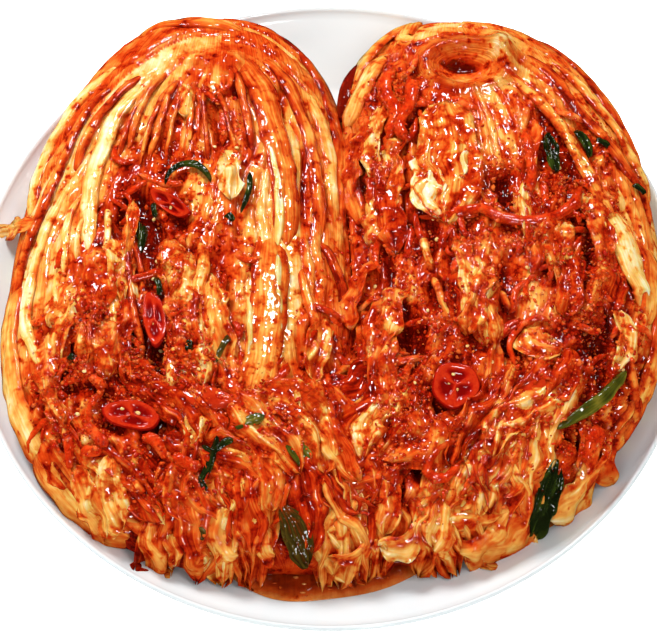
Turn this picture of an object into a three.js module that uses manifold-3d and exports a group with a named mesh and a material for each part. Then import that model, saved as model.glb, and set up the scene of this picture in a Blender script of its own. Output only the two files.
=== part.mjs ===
// Two halves of one kimchi cabbage, cut side up, lying side by side on a round white plate in a little juice.
// Millimetres. +Z is up and +Y points to the stem ends. The origin is on the table, under the plate's middle.
import * as THREE from "three";
import { mergeVertices } from "three/addons/utils/BufferGeometryUtils.js";
import Module from "manifold-3d";

const wasm = await Module();
wasm.setup();

// ---------------------------------------------------------------- driving sizes
const PLATE = {
  rimRadius: 160, // a 32 cm serving plate
  rimHeight: 20,
  floorHeight: 6, // top of the flat well
  flatRadius: 120, // the well is flat up to here, and then rises to the rim
  wall: 3.6,
  footRadius: 92,
  footWidth: 6,
  footHeight: 2.4,
  segments: 48,
};
const GAP = 0.35; // between pieces that touch
const BED_GAP = 1.1; // under the heads, whose broad facets cross the plate's
const JUICE_LEVEL = 11.2;
const JUICE_EDGE = 0.7; // height of the pool's outer edge above the plate

// A half head lies along Y. Its outline is widest at wideY, and closes towards the stem and the leaf tips.
const LEFT = {
  name: "kimchi_half_left",
  midX: -65,
  halfWidth: 81,
  wideY: -25,
  stem: { reach: 173, bend: 12, roundness: 2.3 },
  tips: { reach: 109, bend: 45, roundness: 3.6 },
  valley: { side: -0.22, depth: 6 },
  seed: 11,
};
const RIGHT = {
  name: "kimchi_half_right",
  midX: 77,
  halfWidth: 74,
  wideY: 0,
  stem: { reach: 149, bend: -12, roundness: 2.45 },
  tips: { reach: 130, bend: -52, roundness: 2.9 },
  valley: { side: 0.12, depth: 5 },
  seed: 29,
};
const HEAD = {
  sideHeight: 21, // height of the widest line above the table
  tipDrop: 8, // how much lower that line lies at the leaf tips
  rise: 38, // crown of the cut side above that line
  crossPower: 2.4,
  topColumns: 40, // leaf ribs are every second column
  bottomColumns: 8,
  rows: 22,
  ribHeight: 1.9,
  crumple: 2.2, // relief of the leafy ends
};
const SEAM = { x: 9.6, slant: 0.05 }; // the line where the halves press together
const STEM_CUT = { left: { x: -56, y: 108, radius: 10, rim: 3 }, right: { x: 62, y: 112, radius: 14, hollow: 9 } };

// ---------------------------------------------------------------- small helpers
function randomFrom(seed) {
  let state = seed;
  return () => {
    state = (state * 1664525 + 1013904223) % 4294967296;
    return state / 4294967296;
  };
}

function solidOf(geometry) {
  const bare = geometry.clone();
  bare.deleteAttribute("normal");
  bare.deleteAttribute("uv");
  const merged = mergeVertices(bare, 1e-3);
  const corners = merged.index.array;
  const triangles = [];
  for (let i = 0; i < corners.length; i += 3) {
    const [a, b, c] = corners.slice(i, i + 3);
    if (a !== b && b !== c && c !== a) triangles.push(a, b, c);
  }
  return new wasm.Manifold(
    new wasm.Mesh({
      numProp: 3,
      vertProperties: merged.attributes.position.array,
      triVerts: new Uint32Array(triangles),
    }),
  );
}

function geometryOf(solid) {
  const mesh = solid.getMesh();
  const geometry = new THREE.BufferGeometry();
  geometry.setAttribute("position", new THREE.BufferAttribute(new Float32Array(mesh.vertProperties), 3));
  geometry.setIndex(new THREE.BufferAttribute(new Uint32Array(mesh.triVerts), 1));
  return geometry;
}

function largestBody(solid) {
  return solid.decompose().sort((a, b) => b.volume() - a.volume())[0];
}

function frontBody(solid) {
  return solid.decompose().sort((a, b) => a.boundingBox().min[1] - b.boundingBox().min[1])[0];
}

// Moves every vertex of a three.js geometry to where place(vertex) puts it.
function reshape(geometry, place) {
  const position = geometry.attributes.position;
  const vertex = new THREE.Vector3();
  for (let i = 0; i < position.count; i++) {
    vertex.fromBufferAttribute(position, i);
    const moved = place(vertex, i);
    position.setXYZ(i, moved.x, moved.y, moved.z);
  }
  return geometry;
}

// ---------------------------------------------------------------- plate
function plateTop(radius) {
  const past = Math.max(0, radius - PLATE.flatRadius) / (PLATE.rimRadius - PLATE.flatRadius);
  return PLATE.floorHeight + (PLATE.rimHeight - PLATE.floorHeight) * past ** 2;
}

function plateGeometry() {
  const { rimRadius, wall, footRadius, footWidth, footHeight, segments } = PLATE;
  const profile = [new THREE.Vector2(0, PLATE.floorHeight - wall)];
  profile.push(new THREE.Vector2(footRadius - footWidth, PLATE.floorHeight - wall));
  profile.push(new THREE.Vector2(footRadius - footWidth + 1, 0));
  profile.push(new THREE.Vector2(footRadius, 0));
  profile.push(new THREE.Vector2(footRadius + 1, footHeight));
  for (const radius of [124, 143, rimRadius - 1.2]) {
    profile.push(new THREE.Vector2(radius, plateTop(radius) - wall));
  }
  profile.push(new THREE.Vector2(rimRadius, plateTop(rimRadius) - 1.8));
  for (const radius of [rimRadius - 1, 153, 145, 136, 127, PLATE.flatRadius]) {
    profile.push(new THREE.Vector2(radius, plateTop(radius)));
  }
  profile.push(new THREE.Vector2(0, PLATE.floorHeight));
  return new THREE.LatheGeometry(profile, segments).rotateX(Math.PI / 2);
}

// ---------------------------------------------------------------- form of a half head
// How far y lies from the widest line, as a share of the reach on its side.
function reachShare(half, y) {
  const end = y > half.wideY ? half.stem : half.tips;
  return { end, share: Math.min(1, Math.abs(y - half.wideY) / end.reach), atTips: y <= half.wideY };
}

function halfWidthAt(half, y) {
  const { end, share } = reachShare(half, y);
  return half.halfWidth * (1 - share ** end.roundness) ** (1 / end.roundness);
}

function centreAt(half, y) {
  const { end, share } = reachShare(half, y);
  return half.midX + end.bend * share ** 2;
}

function sideHeightAt(half, y) {
  const { share, atTips } = reachShare(half, y);
  return HEAD.sideHeight - (atTips ? HEAD.tipDrop * share ** 2 : 0);
}

function crownRiseAt(half, y) {
  const { share, atTips } = reachShare(half, y);
  return HEAD.rise * (1 - share ** (atTips ? 2.4 : 4)) ** (1 / 2.2);
}

// Height of the smooth cut side. across runs from -1, the left edge, to 1, the right edge.
function cutSideHeight(half, across, y) {
  const dome = crownRiseAt(half, y) * Math.sqrt(Math.max(0, 1 - Math.abs(across) ** HEAD.crossPower));
  const { side, depth } = half.valley;
  const middle = Math.exp(-(((y + 20) / 70) ** 4));
  return sideHeightAt(half, y) + dome - depth * middle * Math.exp(-(((across - side) / 0.2) ** 2));
}

// The cut stem: a raised ring on the left head, a deep round hollow on the right one.
function stemRelief(half, x, y) {
  if (half === LEFT) {
    const { x: cx, y: cy, radius, rim } = STEM_CUT.left;
    const away = Math.hypot(x - cx, y - cy) / radius;
    return rim * Math.exp(-(((away - 0.8) / 0.45) ** 2)) - 2 * Math.exp(-((away / 0.5) ** 2));
  }
  const { x: cx, y: cy, radius, hollow } = STEM_CUT.right;
  const away = Math.hypot((x - cx) / 1.25, y - cy) / radius;
  return 3 * Math.exp(-(((away - 1.35) / 0.45) ** 2)) - hollow * Math.exp(-((away / 0.75) ** 4));
}

// A point of the cut side, and the direction that faces out of it.
function cutSidePoint(half, across, y) {
  const x = centreAt(half, y) + across * halfWidthAt(half, y);
  return new THREE.Vector3(x, y, cutSideHeight(half, across, y));
}

function cutSideNormal(half, across, y) {
  const step = 0.01;
  const sideways = cutSidePoint(half, across + step, y).sub(cutSidePoint(half, across - step, y));
  const lengthwise = cutSidePoint(half, across, y + 1).sub(cutSidePoint(half, across, y - 1));
  return sideways.cross(lengthwise).normalize();
}

function acrossAt(half, x, y) {
  return (x - centreAt(half, y)) / halfWidthAt(half, y);
}

// The whole half as one closed form. Its columns are leaf ribs that run from the stem to the tips.
// grow makes a smooth, fatter copy that reaches through the juice.
function headGeometry(half, grow = 0) {
  const random = randomFrom(half.seed);
  const columns = HEAD.topColumns + HEAD.bottomColumns;
  const ribs = Array.from({ length: columns + 1 }, (_, i) => ({
    height: (i % 2 ? 1 : -0.6) * (0.6 + 0.7 * random()),
    phase: 6.28 * random(),
  }));
  const geometry = new THREE.SphereGeometry(1, columns, HEAD.rows);
  return reshape(geometry, (vertex, index) => {
    const column = index % (columns + 1);
    const row = Math.floor(index / (columns + 1));
    const along = Math.cos((Math.PI * row) / HEAD.rows);
    const end = along > 0 ? half.stem : half.tips;
    const y = half.wideY + along * (end.reach + grow);
    const onTop = column <= HEAD.topColumns;
    const turn = onTop
      ? (Math.PI * column) / HEAD.topColumns
      : (Math.PI * (column - HEAD.topColumns)) / HEAD.bottomColumns;
    const across = onTop ? -Math.cos(turn) : Math.cos(turn);
    const width = halfWidthAt(half, y) + (Math.abs(along) < 0.999 ? grow : 0);
    const x = centreAt(half, y) + across * width;
    const bed = plateTop(Math.hypot(x, y));
    const edge = Math.max(sideHeightAt(half, y), bed + BED_GAP + 0.5);
    if (onTop) {
      const rib = ribs[column];
      const inside = Math.min(1, 12 * (1 - Math.abs(across))) * Math.min(1, 30 * (1 - Math.abs(along)));
      const ribbed = HEAD.ribHeight * rib.height * (0.75 + 0.5 * Math.sin(y / 21 + rib.phase));
      const leafy = Math.max(0, Math.min(1, (-y - 50) / 50));
      const crumpled = leafy * HEAD.crumple * Math.sin(1.9 * row + rib.phase);
      const relief = grow || ribbed + crumpled + stemRelief(half, x, y);
      const above = cutSideHeight(half, across, y) + relief - edge;
      return new THREE.Vector3(x, y, edge + inside * Math.max(1, above));
    }
    const belly = 0.9 * edge * Math.sin(turn) ** 0.5 * Math.min(1, (1 - along ** 2) * 3);
    const rest = bed + (grow ? -1 : BED_GAP);
    return new THREE.Vector3(x, y, Math.min(edge, Math.max(edge - belly, rest)));
  });
}

// ---------------------------------------------------------------- leaves, shreds and strips
// A thin solid that follows the cut side: box segments across and along, bent by path(share) and pleated.
function stripGeometry(half, path, { width, thick, pleats = 0, pleatHeight = 0, along = 6, across = 1 }) {
  const geometry = new THREE.BoxGeometry(1, 1, 1, across, along, 1);
  return reshape(geometry, (vertex) => {
    const share = vertex.y + 0.5;
    const { x, y, lift } = path(share);
    const ahead = path(Math.min(1, share + 0.02));
    const behind = path(Math.max(0, share - 0.02));
    const heading = new THREE.Vector3(ahead.x - behind.x, ahead.y - behind.y, 0).normalize();
    const taper = Math.min(1, 0.45 + 3 * Math.min(share, 1 - share));
    const offset = vertex.x * width * taper;
    const px = x + heading.y * offset;
    const py = y - heading.x * offset;
    const s = Math.max(-0.97, Math.min(0.97, acrossAt(half, px, py)));
    const base = cutSidePoint(half, s, py);
    const normal = cutSideNormal(half, s, py);
    const wave = pleatHeight * Math.sin(pleats * 2 * Math.PI * vertex.x + 5 * share);
    return base.addScaledVector(normal, lift + wave + thick * vertex.z);
  });
}

const LEAF_TIP = { thick: 2.6, pleats: 1.5, pleatHeight: 1.5, along: 4, across: 3 };
const SHRED = { width: 3.6, thick: 3.2, along: 4 };

// The same path with its two ends pressed down.
function arched(path, depth) {
  return (share) => {
    const point = path(share);
    return { ...point, lift: point.lift - depth * (2 * share - 1) ** 4 };
  };
}

// A path that keeps its place between the ribs, from one y to another.
function ribPath(half, across, fromY, toY, lift, drift = 0) {
  return (share) => {
    const y = fromY + (toY - fromY) * share;
    const s = across + drift * share;
    const x = centreAt(half, y) + s * halfWidthAt(half, y);
    return { x, y, lift: lift - 1.6 * lift * (2 * share - 1) ** 4 };
  };
}

// An arc of the given length and turn on the cut side, with its middle at (x, y).
function arcPath(x, y, length, heading, bend, lift) {
  const radius = length / bend;
  return (share) => {
    const turned = bend * (share - 0.5);
    const ahead = radius * Math.sin(turned);
    const aside = radius * (1 - Math.cos(turned));
    return {
      x: x + Math.cos(heading) * ahead - Math.sin(heading) * aside,
      y: y + Math.sin(heading) * ahead + Math.cos(heading) * aside,
      lift,
    };
  };
}

// Folded leaves that stand proud of the ribs, wavy leaf tips, and radish shreds. Their ends are sunk in the head.
function loosePieces(half) {
  const random = randomFrom(half.seed + 100);
  const made = [];
  const tips = 7;
  for (let i = 0; i < tips; i++) {
    const across = -0.84 + (1.68 * i) / (tips - 1) + 0.06 * (random() - 0.5);
    const path = ribPath(half, across, -58 - 22 * random(), -116 - 10 * random(), 4.2, 0.1 * (random() - 0.5));
    made.push(stripGeometry(half, path, { ...LEAF_TIP, width: 17 + 6 * random() }));
  }
  const shreds = 6;
  for (let i = 0; i < shreds; i++) {
    const y = 62 - (130 * i) / shreds;
    const x = centreAt(half, y) + (0.9 * random() - 0.45) * halfWidthAt(half, y);
    const path = arcPath(x, y, 30 + 14 * random(), Math.PI * random(), 1.4 * random() - 0.7, 4);
    made.push(stripGeometry(half, arched(path, 4.5), SHRED));
  }
  return made;
}

// ---------------------------------------------------------------- chilli slices and green strips
const CHILLIES = [
  { name: "chilli_slice_1", half: LEFT, x: -70, y: 25.7, long: 24, wide: 8, heading: -0.68, tilt: 0.35 },
  { name: "chilli_slice_2", half: LEFT, x: -75.5, y: -31.5, long: 27, wide: 10, heading: 1.73, tilt: 0.2 },
  { name: "chilli_slice_3", half: LEFT, x: -84, y: -76, long: 25, wide: 13, heading: -0.15, tilt: 0 },
  { name: "chilli_slice_4", half: RIGHT, x: 53.2, y: -63, long: 21, wide: 20, heading: 0.6, tilt: 0 },
];
const SLICE_THICK = 3.2;

// A slice of chilli with a raised rim. grow makes the pocket it is set in.
function chilliGeometry({ half, x, y, long, wide, heading, tilt }, grow = 0) {
  const radius = long / 2 + grow;
  const top = grow ? 12 : SLICE_THICK / 2;
  const bottom = -SLICE_THICK / 2 - grow;
  const profile = grow
    ? [[0, bottom], [radius, bottom], [radius, top], [0, top]]
    : [
        [0, bottom],
        [radius - 0.9, bottom],
        [radius, 0],
        [radius - 0.7, top],
        [radius - 2.6, top - 0.2],
        [radius - 3.4, top - 1.2],
        [0, top - 1],
      ];
  const points = profile.map(([r, h]) => new THREE.Vector2(r, h));
  const slice = new THREE.LatheGeometry(points, 14).rotateX(Math.PI / 2);
  slice.scale(1, (wide / 2 + grow) / radius, 1);
  slice.rotateX(tilt).rotateZ(heading);
  const across = acrossAt(half, x, y);
  const up = new THREE.Vector3(0, 0, 1);
  const lean = new THREE.Quaternion().setFromUnitVectors(up, cutSideNormal(half, across, y));
  const seat = cutSidePoint(half, across, y);
  return slice.applyQuaternion(lean).translate(seat.x, seat.y, seat.z + 1.2);
}

const GREENS = [
  { name: "green_strip_1", half: LEFT, x: -62.5, y: 44.5, long: 28, width: 3, heading: 0, bend: -2.8, color: 0x1c2a14 },
  { name: "green_strip_2", half: LEFT, x: -36.6, y: 31, long: 22, width: 2.6, heading: 1.4, bend: 0.3, color: 0x1d2b16 },
  { name: "green_strip_3", half: LEFT, x: -82, y: 9, long: 15, width: 4, heading: 1.4, bend: 0.4, color: 0x1b2412 },
  { name: "green_strip_4", half: LEFT, x: -50, y: -96, long: 26, width: 3.4, heading: 1.1, bend: 0.9, color: 0x1c2814 },
  { name: "green_strip_5", half: LEFT, x: -33.5, y: -79.5, long: 14, width: 4.4, heading: 0.5, bend: 0.2, color: 0x5b6a2a },
  { name: "green_leaf_1", half: LEFT, x: -15, y: -121, long: 21, width: 12, heading: -1.0, bend: 0.3, color: 0x3a3512 },
  { name: "green_strip_6", half: RIGHT, x: 98.3, y: 51, long: 20, width: 7, heading: 1.8, bend: 0.6, color: 0x2c3317 },
  { name: "green_strip_7", half: RIGHT, x: 112.5, y: 59, long: 14, width: 4, heading: 2.0, bend: 0.4, color: 0x3a431d },
  { name: "green_strip_8", half: RIGHT, x: 111.5, y: -66, long: 42, width: 5, heading: 0.75, bend: 0.35, color: 0x6a7a30 },
  { name: "green_leaf_2", half: RIGHT, x: 90, y: -102, long: 26, width: 9, heading: 1.1, bend: 0.2, color: 0x1d2413 },
];
const GREEN_THICK = 1.6;

function greenGeometry({ half, x, y, long, width, heading, bend }, grow = 0) {
  const lift = grow ? 5.4 : 1.4;
  const thick = grow ? 2 * (lift - 1.4) + GREEN_THICK + 2 * grow : GREEN_THICK;
  const path = arcPath(x, y, long + 2 * grow, heading, bend, lift);
  return stripGeometry(half, path, { width: width + 2 * grow, thick, along: 4 });
}

// ---------------------------------------------------------------- juice
const POOL = { radius: 138.5, hidden: 114, wave: 6.5, waves: 6.3, crest: -1.69, widening: 5.7, front: -1.4, spread: 1.15 };

// The pool's wavy outer edge shows past the leaf tips, and hides under the heads elsewhere.
function poolRadius(angle) {
  const fromFront = Math.atan2(Math.sin(angle - POOL.front), Math.cos(angle - POOL.front));
  const shown = Math.exp(-((fromFront / POOL.spread) ** 6));
  const waves = POOL.wave * Math.cos(POOL.waves * (angle - POOL.crest)) + Math.sin(17 * angle);
  const edge = POOL.radius + waves + POOL.widening * (angle + Math.PI / 2) * shown;
  return POOL.hidden + (edge - POOL.hidden) * shown;
}

function juiceGeometry() {
  const shares = [0, 0.45, 0.86, 0.95, 1];
  const profile = shares.map((share) => new THREE.Vector2(share, -1));
  profile.push(new THREE.Vector2(1, 1), new THREE.Vector2(0.95, 1), new THREE.Vector2(0, 1));
  const pool = new THREE.LatheGeometry(profile, 60).rotateX(Math.PI / 2);
  return reshape(pool, (vertex) => {
    const share = Math.hypot(vertex.x, vertex.y);
    const angle = Math.atan2(vertex.y, vertex.x);
    const radius = share * poolRadius(angle);
    const bed = plateTop(radius) + GAP;
    const level = share > 0.99 ? bed + JUICE_EDGE : Math.max(JUICE_LEVEL, bed + JUICE_EDGE);
    return new THREE.Vector3(radius * Math.cos(angle), radius * Math.sin(angle), vertex.z < 0 ? bed : level);
  });
}

// ---------------------------------------------------------------- the dish
const dish = new THREE.Group();

function addPiece(name, geometry, color, roughness) {
  const mesh = new THREE.Mesh(geometry, new THREE.MeshStandardMaterial({ color, roughness, metalness: 0 }));
  mesh.name = name;
  dish.add(mesh);
}

// Everything on the wrong side of the seam, 100 mm high, for trimming a half.
function beyondSeam(half) {
  const away = half === LEFT ? 1 : -1;
  const slab = new THREE.BoxGeometry(200, 420, 200);
  slab.translate(away * (100 - GAP / 2), 0, 0).rotateZ(Math.atan(SEAM.slant));
  return solidOf(slab.translate(SEAM.x, 0, 0));
}

addPiece("plate", geometryOf(solidOf(plateGeometry())), 0xf4f3f1, 0.2);

for (const half of [LEFT, RIGHT]) {
  let head = solidOf(headGeometry(half));
  for (const piece of loosePieces(half)) head = head.add(solidOf(piece));
  head = head.subtract(beyondSeam(half));
  for (const slice of CHILLIES.filter((c) => c.half === half)) {
    head = head.subtract(solidOf(chilliGeometry(slice, GAP)));
  }
  for (const strip of GREENS.filter((g) => g.half === half)) {
    head = head.subtract(solidOf(greenGeometry(strip, GAP)));
  }
  addPiece(half.name, geometryOf(largestBody(head)), 0xc8401c, 0.35);
}

for (const slice of CHILLIES) addPiece(slice.name, geometryOf(solidOf(chilliGeometry(slice))), 0xb3180f, 0.25);
for (const strip of GREENS) addPiece(strip.name, geometryOf(solidOf(greenGeometry(strip))), strip.color, 0.3);

let juice = solidOf(juiceGeometry());
for (const half of [LEFT, RIGHT]) juice = juice.subtract(solidOf(headGeometry(half, 2 * GAP)));
addPiece("juice", geometryOf(frontBody(juice)), 0xd9541e, 0.1);

export default dish;
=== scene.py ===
"""Two halves of one kimchi cabbage, cut side up, on a round white plate."""

import itertools
import math
from functools import partial

import bmesh
import bpy
import numpy as np
from bpy.props import FloatProperty, FloatVectorProperty, IntProperty, PointerProperty
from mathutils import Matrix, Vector


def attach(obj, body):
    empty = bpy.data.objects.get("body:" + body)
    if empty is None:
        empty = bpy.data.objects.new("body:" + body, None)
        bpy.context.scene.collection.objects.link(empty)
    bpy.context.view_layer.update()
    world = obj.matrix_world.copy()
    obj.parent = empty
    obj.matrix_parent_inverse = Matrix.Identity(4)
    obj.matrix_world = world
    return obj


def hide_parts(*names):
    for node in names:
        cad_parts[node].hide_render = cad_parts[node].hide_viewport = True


bl_info = {
    "name": "Kimchi on a plate",
    "version": (1, 0, 0),
    "blender": (4, 5, 0),
    "location": "3D View > Sidebar > Kimchi",
    "description": "Dresses two half cabbages of kimchi, their seasoning and their plate",
    "category": "Object",
}

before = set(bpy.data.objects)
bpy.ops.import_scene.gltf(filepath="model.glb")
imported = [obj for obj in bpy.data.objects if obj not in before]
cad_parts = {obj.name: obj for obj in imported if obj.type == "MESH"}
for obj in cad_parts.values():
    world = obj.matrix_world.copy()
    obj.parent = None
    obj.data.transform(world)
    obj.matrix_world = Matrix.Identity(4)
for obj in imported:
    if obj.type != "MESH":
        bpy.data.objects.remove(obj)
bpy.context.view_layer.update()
MM = 0.001

# ------------------------------------------------------------------ the solids' driving sizes, in mm
RIM_RADIUS, RIM_HEIGHT = 160.0, 20.0
FLOOR_HEIGHT, FLAT_RADIUS = 6.0, 120.0
PLATE_WALL, FOOT_RADIUS, FOOT_WIDTH, FOOT_HEIGHT = 3.6, 92.0, 6.0, 2.4
BED_GAP = 1.1
SIDE_HEIGHT, TIP_DROP, RISE, CROSS_POWER = 21.0, 8.0, 38.0, 2.4
SEAM_X, SEAM_SLANT = 9.6, 0.05
JUICE_LEVEL = 11.2
POOL_ARC = (-2.2, -0.72)
POOL_RADIUS, POOL_HIDDEN_RADIUS = 138.5, 114.0
SEAM_GAP = 0.2

# ------------------------------------------------------------------ the view
VIEW_TARGET = np.array((-0.669, -9.345, 20.0))
VIEW_DISTANCE = 1200.0
VIEW_ELEVATION = math.radians(60.8061)
VIEW_LENS = 147.373
SENSOR = 36.0
PICTURE = (657, 631)
FOCAL = VIEW_LENS / SENSOR * PICTURE[0]
FORWARD = np.array((0, math.cos(VIEW_ELEVATION), -math.sin(VIEW_ELEVATION)))
UPWARD = np.array((0, math.sin(VIEW_ELEVATION), math.cos(VIEW_ELEVATION)))
SIDEWAYS = np.array((1.0, 0, 0))
EYE = VIEW_TARGET - VIEW_DISTANCE * FORWARD

# Where paste covers the leaves: middle across and down, half width and half height in picture points, and
# the share that it covers.
PASTE_PATCHES = (
    (195, 108, 40, 26, 0.3),
    (135, 160, 24, 44, 0.2),
    (170, 165, 30, 40, 0.5),
    (225, 140, 26, 40, 0.5),
    (150, 215, 42, 40, 1.0),
    (165, 275, 50, 42, 0.95),
    (225, 260, 26, 50, 0.45),
    (95, 265, 34, 50, 0.45),
    (85, 330, 50, 46, 0.85),
    (150, 345, 60, 42, 1.0),
    (215, 330, 40, 46, 0.3),
    (100, 390, 70, 40, 1.0),
    (190, 388, 60, 36, 1.0),
    (60, 400, 40, 34, 0.85),
    (170, 430, 100, 34, 0.9),
    (70, 450, 44, 36, 0.75),
    (190, 475, 60, 34, 0.75),
    (265, 405, 36, 40, 0.6),
    (322, 345, 30, 60, 0.6),
    (305, 420, 46, 40, 0.6),
    (120, 480, 60, 30, 0.6),
    (395, 90, 34, 50, 0.8),
    (365, 170, 22, 60, 0.6),
    (395, 165, 26, 60, 0.55),
    (450, 130, 34, 26, 0.5),
    (390, 260, 44, 56, 0.8),
    (385, 350, 34, 60, 0.95),
    (418, 368, 26, 36, 0.6),
    (450, 250, 50, 46, 0.65),
    (510, 190, 40, 40, 0.9),
    (560, 175, 34, 44, 0.95),
    (535, 120, 36, 30, 0.6),
    (610, 250, 26, 40, 0.75),
    (590, 190, 30, 60, 0.7),
    (560, 110, 30, 30, 0.3),
    (622, 380, 34, 56, 0.7),
    (525, 250, 50, 46, 0.8),
    (585, 260, 34, 60, 0.85),
    (600, 320, 44, 60, 0.9),
    (455, 320, 50, 46, 0.75),
    (505, 350, 50, 40, 0.7),
    (455, 390, 50, 34, 0.8),
    (480, 430, 66, 34, 0.85),
    (570, 400, 50, 44, 0.7),
    (590, 450, 50, 36, 0.6),
    (385, 440, 40, 60, 0.7),
    (430, 490, 44, 40, 0.6),
    (540, 480, 60, 34, 0.5),
)

# Deep gaps between leaves, which sink the cut side and are painted darker there as painted shade: middle
# across and down, half width and half height in picture points, and the depth in mm.
CLEFTS = (
    (126, 210, 9, 22, 3.2),
    (180, 214, 9, 15, 3.5),
    (155, 362, 15, 38, 7.0),
    (136, 335, 16, 8, 5.5),
    (84, 388, 26, 10, 5.0),
    (204, 396, 30, 8, 3.5),
    (505, 193, 11, 22, 4.0),
    (586, 268, 11, 26, 6.0),
    (368, 508, 7, 14, 5.0),
    (416, 467, 7, 6, 4.0),
    (422, 496, 7, 7, 4.0),
    (452, 503, 7, 7, 4.0),
    (283, 102, 5, 26, 3.0),
    (306, 190, 5, 40, 3.0),
    (545, 505, 8, 16, 1.5),
    (110, 430, 16, 8, 3.0),
    (390, 150, 7, 20, 3.5),
    (405, 330, 9, 26, 3.5),
    (560, 330, 12, 14, 3.0),
    (592, 345, 12, 24, 4.0),
    (418, 350, 8, 34, 4.0),
    (505, 285, 6, 22, 3.5),
    (600, 360, 9, 26, 4.0),
    (345, 400, 7, 30, 3.5),
    (290, 530, 14, 12, 3.0),
    (446, 530, 9, 12, 3.5),
)

# Pale ribs and leaf margins: width in mm, tone from cream at 0 to deep red at 1, sauce on them, and
# picture points from the stem end.
LEFT_RIBS = (
    (8.0, 0.38, 0.3, (132, 48), (150, 33), (185, 25), (220, 27), (245, 32)),
    (6.5, 0.10, 0.25, (132, 55), (104, 78), (80, 104), (63, 130), (50, 152), (40, 176), (30, 215)),
    (
        4.5, 0.45, 0.5,
        (140, 62), (112, 85), (90, 110), (74, 140), (57, 180), (42, 215), (28, 250), (18, 285), (12, 318),
    ),
    (4.0, 0.45, 0.35, (150, 68), (122, 93), (100, 120), (86, 145), (74, 170)),
    (
        4.5, 0.05, 0.15,
        (74, 170), (60, 202), (47, 232), (39, 259), (32, 287), (28, 315), (30, 336), (38, 355), (46, 374),
    ),
    (
        8.0, 0.20, 0.0,
        (16, 262), (8, 284), (5, 306), (6, 334), (8, 362), (10, 388), (15, 419), (28, 447), (42, 470),
    ),
    (9.0, 0.30, 0.0, (24, 440), (42, 468), (59, 490), (79, 512), (98, 528), (121, 544)),
    (5.0, 0.55, 0.3, (40, 440), (56, 466), (72, 486), (92, 506), (112, 522)),
    (
        7.5, 0.03, 0.10,
        (152, 74), (130, 99), (113, 125), (103, 150), (95, 175), (91, 202), (88, 230), (88, 254),
    ),
    (3.5, 0.15, 0.2, (82, 190), (70, 222), (66, 252), (64, 275)),
    (3.0, 0.10, 0.3, (88, 210), (79, 239), (77, 262)),
    (3.0, 0.10, 0.3, (107, 205), (108, 233), (104, 258)),
    (3.0, 0.15, 0.3, (58, 270), (59, 299), (63, 320), (66, 334)),
    (3.0, 0.25, 0.3, (84, 286), (81, 302), (88, 314)),
    (3.5, 0.35, 0.3, (170, 66), (150, 92), (138, 118), (128, 148)),
    (3.5, 0.40, 0.4, (182, 72), (168, 100), (158, 132), (150, 160)),
    (3.5, 0.45, 0.4, (196, 74), (192, 100), (190, 128), (186, 156)),
    (2.6, 0.48, 0.4, (160, 76), (142, 102), (128, 130), (118, 160)),
    (2.6, 0.46, 0.4, (176, 78), (160, 106), (148, 136), (140, 166)),
    (2.6, 0.50, 0.4, (190, 82), (178, 108), (170, 136), (166, 166)),
    (2.6, 0.50, 0.4, (204, 80), (204, 106), (206, 134), (208, 160)),
    (2.6, 0.46, 0.4, (214, 78), (222, 104), (230, 130), (236, 152)),
    (4.5, 0.55, 0.3, (112, 220), (120, 240), (126, 264), (130, 292), (135, 320), (143, 346)),
    (3.5, 0.60, 0.3, (122, 225), (137, 258), (146, 286)),
    (5.5, 0.20, 0.2, (201, 236), (204, 266), (198, 296), (205, 324)),
    (12.0, 0.42, 0.25, (236, 48), (254, 76), (265, 103), (272, 130), (279, 158), (285, 200), (287, 246)),
    (4.0, 0.02, 0.05, (262, 120), (271, 150), (276, 178), (279, 210), (278, 246)),
    (6.0, 0.45, 0.25, (248, 44), (275, 68), (292, 98), (304, 128), (312, 160), (318, 200), (322, 236)),
    (5.5, 0.18, 0.15, (300, 78), (312, 105), (320, 130), (327, 158), (330, 188), (335, 224)),
    (6.0, 0.55, 0.2, (262, 36), (290, 48), (310, 68), (327, 97), (334, 130), (338, 180), (342, 230)),
    (4.0, 0.50, 0.3, (226, 52), (238, 84), (246, 116), (252, 150)),
    (16.0, 0.32, 0.35, (274, 226), (270, 262), (268, 296), (266, 330), (262, 362), (250, 402)),
    (4.0, 0.02, 0.05, (279, 240), (277, 270), (277, 310), (278, 350)),
    (3.5, 0.06, 0.15, (250, 292), (250, 324), (251, 341), (249, 368)),
    (4.0, 0.30, 0.2, (300, 262), (306, 303), (313, 327), (320, 350)),
    (3.0, 0.25, 0.2, (309, 336), (313, 349), (302, 368)),
    (4.5, 0.55, 0.3, (322, 236), (330, 262), (338, 285), (346, 312)),
    (5.0, 0.45, 0.2, (338, 268), (352, 290), (361, 316), (361, 342), (354, 364), (333, 377)),
)
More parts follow.
